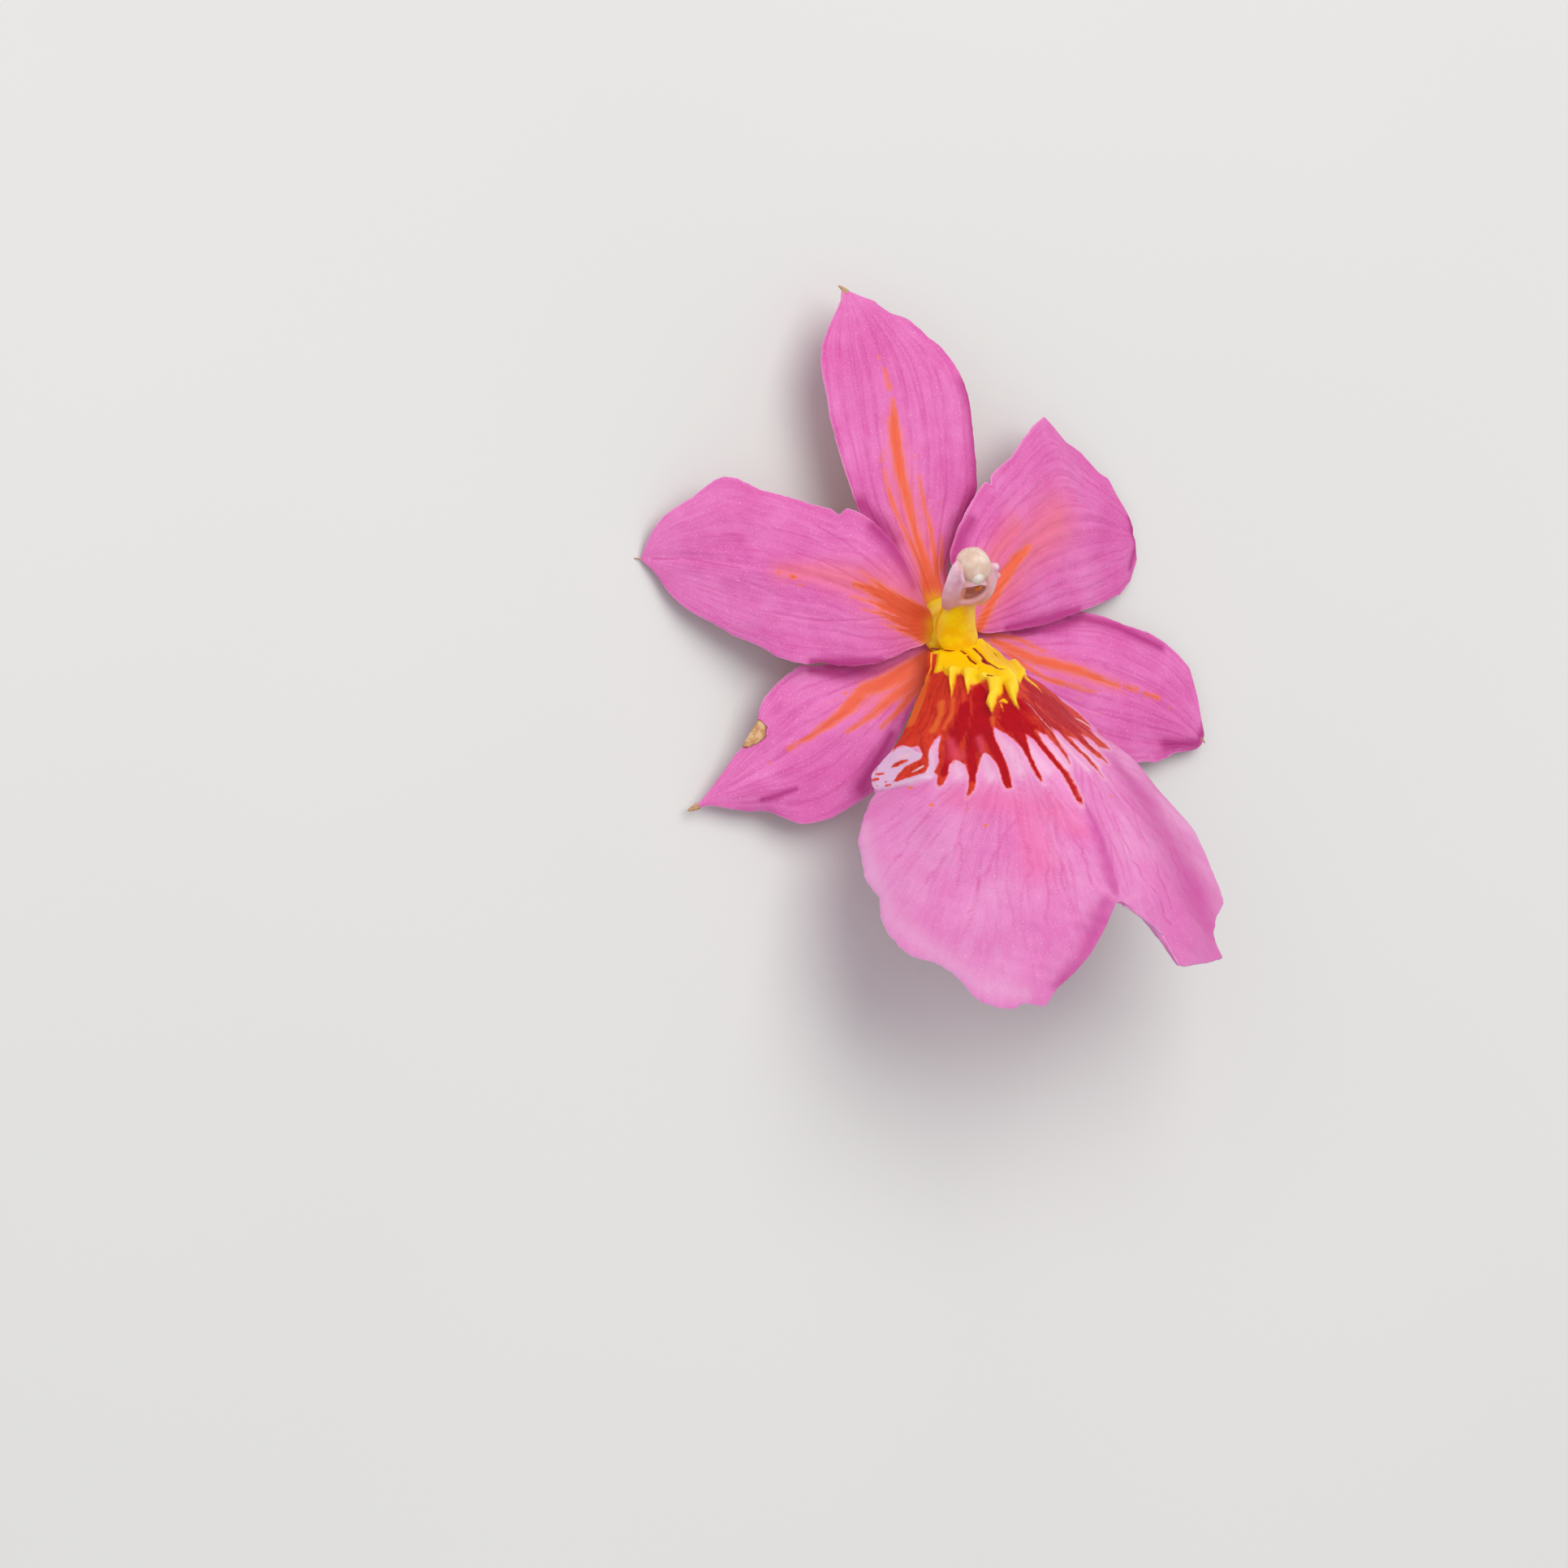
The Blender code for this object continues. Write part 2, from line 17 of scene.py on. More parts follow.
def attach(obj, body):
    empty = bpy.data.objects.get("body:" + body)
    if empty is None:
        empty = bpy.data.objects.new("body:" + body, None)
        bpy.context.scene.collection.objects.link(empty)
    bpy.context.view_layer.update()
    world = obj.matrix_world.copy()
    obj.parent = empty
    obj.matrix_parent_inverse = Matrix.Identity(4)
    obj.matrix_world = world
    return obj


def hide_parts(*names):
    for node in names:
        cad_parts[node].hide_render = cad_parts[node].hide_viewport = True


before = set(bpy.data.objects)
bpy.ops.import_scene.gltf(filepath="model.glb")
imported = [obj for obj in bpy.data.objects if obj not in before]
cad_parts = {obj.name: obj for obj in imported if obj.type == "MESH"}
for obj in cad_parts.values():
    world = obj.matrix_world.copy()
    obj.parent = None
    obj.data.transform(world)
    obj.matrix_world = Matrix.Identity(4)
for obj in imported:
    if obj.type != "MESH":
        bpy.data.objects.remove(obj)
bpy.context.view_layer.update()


# The view
# The photograph looks at the flower from the right of its face, with the flower leaning a little to the left.
# The same view is used to paint the marks where the photograph shows them. The lens is long, so that near
# and far parts of the flower keep their sizes.
MM = 0.001
FLOWER_MIDDLE = np.array((0.0, 1.8, 9.5))
PHOTO_PIXELS = 1932
PIXELS_PER_MM = 11.1
FACE_TURN = math.radians(28)
FACE_ROLL = math.radians(15)
MIDDLE_PIXEL = (1170, 775)
LENS_MM = 500
SENSOR_MM = 36

turned = np.array((math.cos(FACE_TURN), 0.0, math.sin(FACE_TURN)))
upright = np.array((0.0, 1.0, 0.0))
to_right = turned * math.cos(FACE_ROLL) - upright * math.sin(FACE_ROLL)
to_top = turned * math.sin(FACE_ROLL) + upright * math.cos(FACE_ROLL)
to_camera = np.cross(to_right, to_top)
photo_width = PHOTO_PIXELS / PIXELS_PER_MM
camera_distance = photo_width * LENS_MM / SENSOR_MM
aim = to_right * (PHOTO_PIXELS / 2 - MIDDLE_PIXEL[0]) / PIXELS_PER_MM
aim = aim + to_top * (MIDDLE_PIXEL[1] - PHOTO_PIXELS / 2) / PIXELS_PER_MM


def seen(points):
    """The photograph's pixels at which points of the flower's frame are seen."""
    offset = np.asarray(points, float) - aim
    larger = camera_distance / (camera_distance - offset @ to_camera)
    across = PHOTO_PIXELS / 2 + offset @ to_right * larger * PIXELS_PER_MM
    down = PHOTO_PIXELS / 2 - offset @ to_top * larger * PIXELS_PER_MM
    return np.stack((across, down), axis=-1)


def placed(name, data):
    """A new object of the scene that shows this data."""
    made = bpy.data.objects.new(name, data)
    bpy.context.scene.collection.objects.link(made)
    return made


camera_data = bpy.data.cameras.new("camera")
camera_data.lens = LENS_MM
camera_data.sensor_width = SENSOR_MM
camera_data.clip_start = 0.05
camera_data.clip_end = 20.0
camera = placed("camera", camera_data)
camera_turn = Matrix((Vector(to_right), Vector(to_top), Vector(to_camera))).transposed().to_4x4()
camera_spot = (aim + FLOWER_MIDDLE + to_camera * camera_distance) * MM
camera.matrix_world = Matrix.Translation(Vector(camera_spot)) @ camera_turn
bpy.context.scene.camera = camera


# Upright sepal
# The outer blade above the flower's middle: living tissue about half a millimetre thick, thinner at the
# margins, pink with orange flecks that run out from its yellow foot. It grows from the top of the ovary.
# The tools that shape and paint every blade are made here, where they are first needed.
TEPAL_ROWS = 200
TEPAL_COLUMNS = 112
TEPAL_FOLD = 0.25
TEPAL_RIPPLE = 0.25
TEPAL_WAVES = 3.5
MARGIN_LAG = 1.3
TEPAL_MIDDLE_THICKNESS = 0.56
MARGIN_THICKNESS = 0.26
MARGIN_STEPS = (0.98, 0.99, 0.997, 1.0)
MARGIN_ROUNDING = 60
END_ROUNDING = 0.01
TEPAL_SCALLOP = 0.05
TEPAL_SWELL = 0.13
FINE_SWELL = 0.03
VEIN_DEPTH = 0.045
MIDRIB_DEPTH = 0.16
MIDRIB_WIDTH = 0.5
OUTLINE_REACH = 1.7
STROKE_STEP = 9
FACING_LIMIT = 0.08
OUTLINE_FADE = 6.0
OUTLINE_SMOOTHING = 0.8
NARROW_END = 1.5
PULL_START = 0.3
MARGIN_WAVES = (0.9, 4.5)
TEPAL_VEIN_WIDTH = 0.16
TEPAL_BAND_END = 0.85
WELD = 2e-6
NOWHERE = -9.0
UPRIGHT_SEPAL = (
    ((-1.9, 2.0, -1.7), (-0.1, 2.2, -1.6), (1.8, 2.0, -1.7)),
    ((-3.0, 7.0, -1.9), (-0.8, 7.2, -1.6), (2.6, 7.0, -1.9)),
    ((-4.8, 11.3, -2.1), (-1.2, 11.5, -1.7), (5.0, 11.3, -2.1)),
    ((-6.6, 16.0, -2.1), (-0.9, 16.5, -1.7), (8.0, 15.6, -1.9)),
    ((-6.9, 21.0, -2.0), (0.2, 21.5, -1.8), (9.9, 20.5, -1.5)),
    ((-6.3, 26.0, -2.4), (1.2, 26.5, -2.0), (10.6, 25.8, -1.8)),
    ((-5.4, 31.0, -2.9), (1.7, 31.3, -2.4), (9.4, 30.3, -2.5)),
    ((-3.5, 35.2, -3.3), (1.5, 35.3, -2.9), (5.8, 34.4, -3.2)),
    ((-1.2, 38.2, -3.4), (0.8, 38.0, -3.3), (2.9, 37.2, -3.5)),
    ((0.0, 39.6, -3.4), (0.0, 39.6, -3.4), (0.0, 39.6, -3.4)),
)
UPRIGHT_LEFT_EDGE = (
    (1057, 628), (1049, 605), (1039, 575), (1031, 548), (1022, 513), (1019, 491), (1013, 462), (1011, 444),
    (1012, 428), (1018, 409), (1026, 391), (1037, 369),
)
UPRIGHT_RIGHT_EDGE = (
    (1170, 688), (1204, 603), (1203, 575), (1200, 544), (1197, 513), (1193, 487), (1185, 464), (1173, 444),
    (1159, 427), (1143, 415), (1133, 405), (1120, 394), (1111, 390), (1098, 387), (1082, 376), (1071, 365),
    (1055, 358),
)
UPRIGHT_STREAKS = (
    ((1082, 440, 0.22),),
    ((1089, 454, 0.18), (1094, 479, 0.28)),
    ((1098, 493, 0.22), (1100, 520, 0.6), (1103, 548, 0.72), (1108, 580, 0.7), (1118, 620, 0.55),
     (1127, 660, 0.5), (1140, 700, 0.8), (1148, 738, 1.3)),
    ((1087, 555, 0.12), (1085, 568, 0.2)),
    ((1088, 578, 0.16), (1095, 608, 0.3), (1103, 632, 0.28), (1117, 662, 0.28), (1135, 697, 0.4),
     (1146, 735, 0.7)),
    ((1128, 562, 0.14),),
    ((1131, 587, 0.16), (1138, 624, 0.3), (1146, 654, 0.34), (1151, 688, 0.4), (1154, 725, 0.7)),
    ((1158, 619, 0.12),),
    ((1159, 660, 0.1), (1158, 700, 0.3)),
)
UPRIGHT_GLOW = (((1151, 742, 1.1), (1153, 765, 2.2)),)
UPRIGHT_BLUSH = (((1098, 520, 0.9), (1110, 590, 1.5), (1128, 660, 2.2), (1146, 720, 3.0)),)
# Painted shade on the upright sepal: along its right margin, which curves back, and low on its left beside
# the left petal.
UPRIGHT_PAINTED_SHADE = (
    ((1190, 470, 0.8), (1200, 520, 0.7), (1203, 590, 0.9), (1185, 650, 0.9)),
    ((1060, 620, 1.0), (1100, 665, 1.2)),
)


def along(points, places):
    """Points on a smooth curve through the given points, at places from 0 (first) to 1 (last)."""
    points = np.array(points, float)
    spans = len(points) - 1
    share = np.clip(places, 0.0, 1.0) * spans
    span = np.minimum(share.astype(int), spans - 1)
    t = (share - span)[:, None]
    a, b, c, d = (points[np.clip(span + step, 0, spans)] for step in (-1, 0, 1, 2))
    return b + 0.5 * t * (c - a + t * (2 * a - 5 * b + 4 * c - d + t * (3 * b - a - 3 * c + d)))


def unit(vectors):
    return vectors / np.maximum(np.linalg.norm(vectors, axis=-1, keepdims=True), 1e-9)


def blurred(values, sigma):
    """Values along a line, smoothed over about sigma of its steps."""
    reach = int(4 * sigma) + 1
    weights = np.exp(-0.5 * (np.arange(-reach, reach + 1) / sigma) ** 2)
    padded = np.pad(values, reach, mode="edge")
    return np.convolve(padded, weights / weights.sum(), mode="valid")


def outline_shifts(edge, outward, outline):
    """How far, in mm, each point of a margin moves outward to be seen on the photograph's outline."""
    start = seen(edge)
    step = seen(edge + outward) - start
    outline = np.array(outline, float)
    first, run = outline[:-1], outline[1:] - outline[:-1]

    def crossed(a, b):
        return a[..., 0] * b[..., 1] - a[..., 1] * b[..., 0]

    between = first[None] - start[:, None]
    turn = crossed(step[:, None], run[None])
    turn = np.where(np.abs(turn) < 1e-6, 1e-6, turn)
    shift = crossed(between, run[None]) / turn
    share = crossed(between, step[:, None]) / turn
    hit = (share >= 0) & (share <= 1) & (np.abs(shift) <= OUTLINE_REACH)
    nearest = np.where(hit, np.abs(shift), np.inf).argmin(axis=1)
    found = hit.any(axis=1)
    if not found.any():
        return np.zeros(len(edge))
    rows = np.arange(len(edge))
    known = shift[rows, nearest][found]
    filled = np.interp(rows, rows[found], known)
    away = np.maximum(rows[found][0] - rows, 0) + np.maximum(rows - rows[found][-1], 0)
    return blurred(filled * np.exp(-away / OUTLINE_FADE), OUTLINE_SMOOTHING)


def waves_along(count, seed, shortest, longest, length):
    """A gentle random wave along a margin of this length, between -1 and 1, from waves of these lengths."""
    draw = np.random.default_rng(seed)
    places = np.linspace(0, length, count)
    total = np.zeros(count)
    for wave_length in np.geomspace(shortest, longest, 7):
        total += draw.uniform(0.5, 1.0) * np.sin(2 * math.pi * places / wave_length + draw.uniform(0, 7))
    return total / 3.5


def shape_blade(rungs, rows, columns, fold, ripple, waves, edges, seed, scallop):
    """The middle surface of a blade, from rungs of (one margin, midrib, other margin), base to tip.

    Its margins then follow the photograph's outline where edges give one, with a fine scallop of their own.
    """
    places = np.linspace(0, 1, rows + 1)
    inner = np.linspace(-MARGIN_STEPS[0], MARGIN_STEPS[0], columns - 2 * len(MARGIN_STEPS) + 3)
    outer = np.array(MARGIN_STEPS[1:])
    across = np.concatenate((-outer[::-1], inner, outer))
    one, middle, other = (along([rung[k] for rung in rungs], places)[:, None, :] for k in range(3))
    s = across[None, :, None]
    curved = one * s * (s - 1) / 2 + middle * (1 - s**2) + other * s * (s + 1) / 2
    straight = middle + np.where(s > 0, other - middle, one - middle) * np.abs(s)
    points = curved * (1 - fold) + straight * fold
    phase = 2 * math.pi * waves * places[:, None] + np.where(across > 0, MARGIN_LAG, 0.0)[None, :]
    points[..., 2] += ripple * np.abs(across) ** 3 * np.sin(phase) * np.sin(math.pi * places)[:, None]
    for side, (margin, outline) in enumerate(zip((one, other), edges)):
        edge = margin[:, 0]
        outward = unit(edge - middle[:, 0])
        length = np.linalg.norm(np.diff(edge, axis=0), axis=1).sum()
        shift = scallop * waves_along(rows + 1, seed + side, *MARGIN_WAVES, length)
        if outline:
            shift = shift + outline_shifts(points[:, -side], outward, outline)
        width = np.linalg.norm(edge - middle[:, 0], axis=1)
        shift *= np.clip(width / NARROW_END, 0, 1)
        sign = 2 * side - 1
        pull = np.clip((sign * across - PULL_START) / (1 - PULL_START), 0, 1) ** 2
        points += outward[:, None, :] * (shift[:, None] * pull[None, :])[..., None]
    centre = columns // 2
    half_widths = np.linalg.norm(points - points[:, centre:centre + 1], axis=2)
    reach = np.where(across[None, :] < 0, half_widths[:, :1], half_widths[:, -1:])
    lengthwise = np.gradient(points, axis=0)
    sideways = np.gradient(points, axis=1)
    normals = unit(np.cross(sideways, lengthwise))
    normals[normals[..., 2] < 0] *= -1
    normals[-1] = normals[-3]
    pixels = seen(points)
    return SimpleNamespace(
        points=points, normals=normals, pixels=pixels, steps=(lengthwise, sideways),
        pixel_steps=(np.gradient(pixels, axis=0), np.gradient(pixels, axis=1)), places=places, across=across,
        reach=reach, inset=np.clip(reach - half_widths, 0, None),
    )


def inside_outline(pixels, outline):
    """How many mm each point lies inside a closed outline of pixels. It is below zero outside."""
    corners = np.array(outline, float)
    within = np.zeros(pixels.shape[:-1], bool)
    nearest = np.full(pixels.shape[:-1], np.inf)
    for start, end in zip(corners, np.roll(corners, -1, axis=0)):
        run = end - start
        share = np.clip((pixels - start) @ run / max(run @ run, 1e-9), 0, 1)
        nearest = np.minimum(nearest, np.linalg.norm(pixels - start - share[..., None] * run, axis=-1))
        spans = (start[1] > pixels[..., 1]) != (end[1] > pixels[..., 1])
        if run[1] != 0:
            crossing = start[0] + (pixels[..., 1] - start[1]) * run[0] / run[1]
            within ^= spans & (pixels[..., 0] < crossing)
    return np.where(within, nearest, -nearest) / PIXELS_PER_MM


def step_height(x, low, high):
    share = np.clip((x - low) / (high - low), 0, 1)
    return share * share * (3 - 2 * share)


def laid_strokes(blade, strokes, wiggle):
    """Brush strokes of (pixel across, pixel down, half width in mm) as rows of places on the surface."""
    facing = blade.normals @ to_camera > FACING_LIMIT
    pixels, points = blade.pixels[facing], blade.points[facing]
    steps = [step[facing] for step in blade.steps]
    pixel_steps = [step[facing] for step in blade.pixel_steps]
    laid = []
    for stroke in strokes:
        dabs = np.array(stroke if len(stroke) > 1 else stroke * 2, float)
        finer = [dabs[0]]
        for a, b in zip(dabs, dabs[1:]):
            count = max(1, int(np.linalg.norm(b[:2] - a[:2]) / STROKE_STEP))
            finer += [a + (b - a) * (k + 1) / count for k in range(count)]
        row = []
        for across, down, half_width in finer:
            across += wiggle * math.sin(down / 5.3 + 1.7 * math.sin(down / 13.0))
            near = ((pixels - (across, down)) ** 2).sum(axis=1).argmin()
            grid = np.stack([step[near] for step in pixel_steps], axis=1)
            shares = np.linalg.lstsq(grid, (across, down) - pixels[near], rcond=None)[0].clip(-0.7, 0.7)
            row.append((points[near] + shares[0] * steps[0][near] + shares[1] * steps[1][near], half_width))
        laid.append(row)
    return laid


def stroke_spans(blade, strokes, wiggle=0.0):
    """For each short span of each stroke, every point's distance from it and the half width there, in mm."""
    for row in laid_strokes(blade, strokes, wiggle):
        for (start, start_width), (end, end_width) in zip(row, row[1:]):
            run = end - start
            share = np.clip((blade.points - start) @ run / max(run @ run, 1e-9), 0, 1)
            gap = np.linalg.norm(blade.points - start - share[..., None] * run, axis=-1)
            yield gap, start_width + (end_width - start_width) * share


def inside_strokes(blade, strokes, wiggle=0.0):
    """How many mm each point lies inside the nearest brush stroke. wiggle bends them by so many pixels."""
    deepest = np.full(blade.inset.shape, NOWHERE)
    for gap, width in stroke_spans(blade, strokes, wiggle):
        deepest = np.maximum(deepest, width - gap)
    return deepest


def near_strokes(blade, strokes):
    """1 in the middle of a soft brush stroke, fading to 0 over about its half width and more."""
    strongest = np.zeros(blade.inset.shape)
    for gap, width in stroke_spans(blade, strokes):
        strongest = np.maximum(strongest, np.exp(-((gap / width) ** 2)))
    return strongest


def swells(points, seed, shortest, longest, count=9):
    """Slow random swells over a surface, about -1 to 1, with wave lengths between these in mm."""
    draw = np.random.default_rng(seed)
    total = np.zeros(points.shape[:-1])
    for _ in range(count):
        way = draw.uniform(0, math.pi)
        step = draw.uniform(shortest, longest)
        phase = draw.uniform(0, 2 * math.pi)
        run = points[..., 0] * math.cos(way) + points[..., 1] * math.sin(way)
        total += np.sin(2 * math.pi * run / step + phase)
    return total / math.sqrt(count)


def grown_veins(blade, seed, mains, forks, width, wander=0.012):
    """Veins that run from a blade's foot to its margin and fork, as 0 to 1 over its surface."""
    draw = np.random.default_rng(seed)
    places = blade.places
    lines = []
    for middle in np.linspace(-0.93, 0.93, mains):
        drift = np.zeros(len(places))
        for turns in (1.3, 2.9, 5.3, 9.1):
            drift += np.sin(2 * math.pi * turns * places + draw.uniform(0, 7)) / turns
        track = middle + draw.uniform(-0.02, 0.02) + wander * drift
        lines.append((track, 0.02, draw.uniform(0.9, 1.05), 1.0))
    for generation in range(forks):
        for track, start, end, strength in list(lines):
            if draw.uniform() < 0.25:
                continue
            begin = start + (0.85 - start) * draw.uniform(0.25, 0.6)
            apart = draw.choice((-1, 1)) * draw.uniform(0.6, 1.2) * 0.9 / mains / (1 + 0.5 * generation)
            spread = apart * (1 - np.exp(-np.clip(places - begin, 0, None) / 0.12))
            bend = wander * np.sin(2 * math.pi * 6.5 * places + draw.uniform(0, 7))
            bend = bend * np.clip(places - begin, 0, 0.1) * 6
            lines.append((track + spread + bend, begin, draw.uniform(0.8, 1.02), strength * 0.75))
    field = np.zeros(blade.points.shape[:-1])
    for track, start, end, strength in lines:
        gap = np.abs(blade.across[None, :] - track[:, None]) * blade.reach
        fade = np.clip((places - start) / 0.04, 0, 1) * np.clip((end - places) / 0.15, 0, 1)
        field = np.maximum(field, strength * fade[:, None] * np.exp(-((gap / width) ** 2)))
    return field


def closed(data):
    """The mesh with its seams welded, its normals pointing outwards and smooth shading."""
    shape = bmesh.new()
    shape.from_mesh(data)
    bmesh.ops.remove_doubles(shape, verts=shape.verts, dist=WELD)
    bmesh.ops.recalc_face_normals(shape, faces=shape.faces)
    shape.to_mesh(data)
    shape.free()
    data.shade_smooth()
    return data


def mesh_of(name, places, edges=(), faces=()):
    """A mesh from places in mm in the flower's own frame."""
    data = bpy.data.meshes.new(name)
    places = (np.asarray(places).reshape(-1, 3) + FLOWER_MIDDLE) * MM
    data.from_pydata(places.tolist(), edges, faces)
    return data


def keep_field(data, title, values):
    """One number per point, which the materials and the Geometry Nodes trees read by its name."""
    flat = np.asarray(values, np.float32).reshape(-1)
    data.attributes.new(title, "FLOAT", "POINT").data.foreach_set("value", flat)


def close_shell(name, blade, half_thickness, relief, fields, swell=None):
    """A closed shell round a blade's middle surface. The back has half the rows and columns of the front.

    relief lifts both faces along the front's normal, and swell only the front one.
    """
    points, normals = blade.points, blade.normals
    rows, columns = points.shape[0] - 1, points.shape[1] - 1
    ends = np.sqrt(np.clip(np.minimum(blade.places, 1 - blade.places) / END_ROUNDING, 0, 1))[:, None]
    sides = np.sqrt(np.clip(1 - np.abs(blade.across) ** MARGIN_ROUNDING, 0, 1))[None, :]
    half = half_thickness * ends * sides
    middle = points + normals * relief[..., None]
    raised = half if swell is None else half + swell * np.minimum(ends, sides)
    front = middle + normals * raised[..., None]
    back = middle - normals * half[..., None]
    front_number = np.arange((rows + 1) * (columns + 1)).reshape(rows + 1, columns + 1)
    back_number = front_number.copy()
    even = back[2:-1:2, 2:-1:2]
    even_number = np.arange(even.shape[0] * even.shape[1]).reshape(even.shape[:2])
    back_number[2:-1:2, 2:-1:2] = front_number.size + even_number
    places = np.concatenate((front.reshape(-1, 3), even.reshape(-1, 3)))
    faces = np.stack((
        front_number[:-1, :-1], front_number[:-1, 1:], front_number[1:, 1:], front_number[1:, :-1],
    ), axis=-1).reshape(-1, 4).tolist()
    for i in range(0, rows, 2):
        for j in range(0, columns, 2):
            ring = [(i, j)]
            ring += [(i + 1, j)] if j == 0 else []
            ring += [(i + 2, j)]
            ring += [(i + 2, j + 1)] if i == rows - 2 else []
            ring += [(i + 2, j + 2)]
            ring += [(i + 1, j + 2)] if j == columns - 2 else []
            ring += [(i, j + 2)]
            ring += [(i, j + 1)] if i == 0 else []
            faces.append([int(back_number[spot]) for spot in ring])
    data = mesh_of(name, places, faces=faces)
    fields = dict(fields, inset=blade.inset, place=np.broadcast_to(blade.places[:, None], blade.inset.shape))
    fields["across"] = np.broadcast_to(blade.across[None, :], blade.inset.shape)
    for title, values in fields.items():
        values = np.asarray(values, float)
        flat = np.concatenate((values.reshape(-1), values[2:-1:2, 2:-1:2].reshape(-1)))
        keep_field(data, title, flat)
    behind = np.zeros(len(places), np.float32)
    behind[front_number.size:] = 1.0
    behind[front_number[[0, -1]].ravel()] = 0.5
    behind[front_number[:, [0, -1]].ravel()] = 0.5
    keep_field(data, "back", behind)
    return placed(name, closed(data))


def blade_half_thickness(blade, middle, margin):
    return 0.5 * (middle + (margin - middle) * np.abs(blade.across)[None, :] ** 2)


def srgb(red, green, blue):
    """A colour as the photograph shows it, from 0 to 255, as Blender's linear values."""
    shares = [value / 255 for value in (red, green, blue)]
    return tuple(v / 12.92 if v <= 0.04045 else ((v + 0.055) / 1.055) ** 2.4 for v in shares) + (1.0,)


def add(tree, kind, inputs=None, **settings):
    """A new node, with inputs by name or number: another node's output, or a value."""
    made = tree.nodes.new(kind)
    for setting, value in settings.items():
        setattr(made, setting, value)
    for socket, value in (inputs or {}).items():
        if isinstance(value, bpy.types.NodeSocket):
            tree.links.new(value, made.inputs[socket])
        else:
            made.inputs[socket].default_value = value
    return made


def blend(tree, share, under, over):
    """The colour between under (share 0) and over (share 1)."""
    return add(tree, "ShaderNodeMix", {0: share, 6: under, 7: over}, data_type="RGBA").outputs[2]


def maths(tree, operation, first, second=0.0, clamp=False):
    return add(tree, "ShaderNodeMath", {0: first, 1: second}, operation=operation, use_clamp=clamp).outputs[0]


def ramp(tree, value, low, high, smooth=True):
    """0 up to low and 1 from high on. low may be above high."""
    kind = "SMOOTHSTEP" if smooth else "LINEAR"
    inputs = {"Value": value, "From Min": low, "From Max": high, "To Min": 0.0, "To Max": 1.0}
    return add(tree, "ShaderNodeMapRange", inputs, interpolation_type=kind).outputs["Result"]


def noise(tree, spot, scale, detail=2.0, roughness=0.5):
    inputs = {"Vector": spot, "Scale": scale, "Detail": detail, "Roughness": roughness}
    return add(tree, "ShaderNodeTexNoise", inputs).outputs["Fac"]


def new_group(name, inputs, outputs):
    """A shader group with these sockets, each (name, kind, default), and its inner ends."""
    group = bpy.data.node_groups.new(name, "ShaderNodeTree")
    for title, kind, default in inputs:
        socket = group.interface.new_socket(name=title, in_out="INPUT", socket_type=kind)
        if default is not None:
            socket.default_value = default
    for title, kind in outputs:
        group.interface.new_socket(name=title, in_out="OUTPUT", socket_type=kind)
    return group, group.nodes.new("NodeGroupInput").outputs, group.nodes.new("NodeGroupOutput").inputs


COLOUR, NUMBER, ARROW = "NodeSocketColor", "NodeSocketFloat", "NodeSocketVector"
WHITE = (1, 1, 1, 1)

# Petal tissue: soft cloudy colour along the blade, fine cells with painted glints, veins, and a paler rim.
tissue, given, result = new_group(
    "petal_tissue",
    (("Spot", ARROW, None), ("Along", ARROW, None), ("Light", COLOUR, WHITE), ("Deep", COLOUR, WHITE),
     ("Vein Colour", COLOUR, WHITE), ("Vein", NUMBER, 0.0), ("Vein Strength", NUMBER, 0.5),
     ("Inset", NUMBER, 1.0), ("Rim Colour", COLOUR, WHITE)),
    (("Colour", COLOUR), ("Height", NUMBER)),
)
clouds = noise(tissue, given["Spot"], 160.0, 3.0)
fibres = noise(tissue, given["Along"], 1.0, 3.0, 0.55)
body = maths(tissue, "ADD", maths(tissue, "MULTIPLY", clouds, 0.9), maths(tissue, "MULTIPLY", fibres, 0.4))
body = maths(tissue, "SUBTRACT", body, 0.15, clamp=True)
colour = blend(tissue, ramp(tissue, body, 0.2, 0.85), given["Deep"], given["Light"])
vein_break = ramp(tissue, noise(tissue, given["Spot"], 420.0, 2.0), 0.25, 0.6)
vein_share = maths(
    tissue, "MULTIPLY", maths(tissue, "MULTIPLY", given["Vein"], vein_break), given["Vein Strength"],
)
colour = blend(tissue, vein_share, colour, given["Vein Colour"])
grain = noise(tissue, given["Spot"], 5200.0, 2.0, 0.7)
# Painted glints: bright specks stand in for light caught on the glistening cells.
painted_glint = ramp(tissue, grain, 0.55, 0.8)
pale = blend(tissue, maths(tissue, "MULTIPLY", painted_glint, 0.4), colour, (1.0, 0.72, 0.88, 1.0))
dark = ramp(tissue, grain, 0.45, 0.2)
shaded = blend(tissue, maths(tissue, "MULTIPLY", dark, 0.18), pale, given["Vein Colour"])
rim = ramp(tissue, given["Inset"], 0.16, 0.03)
tissue.links.new(
    blend(tissue, maths(tissue, "MULTIPLY", rim, 0.55), shaded, given["Rim Colour"]), result["Colour"],
)
cells = noise(tissue, given["Spot"], 3600.0, 1.0)
height = maths(tissue, "ADD", maths(tissue, "MULTIPLY", cells, 0.6), maths(tissue, "MULTIPLY", fibres, 0.35))
tissue.links.new(
    maths(tissue, "SUBTRACT", height, maths(tissue, "MULTIPLY", given["Vein"], 0.8)), result["Height"],
)

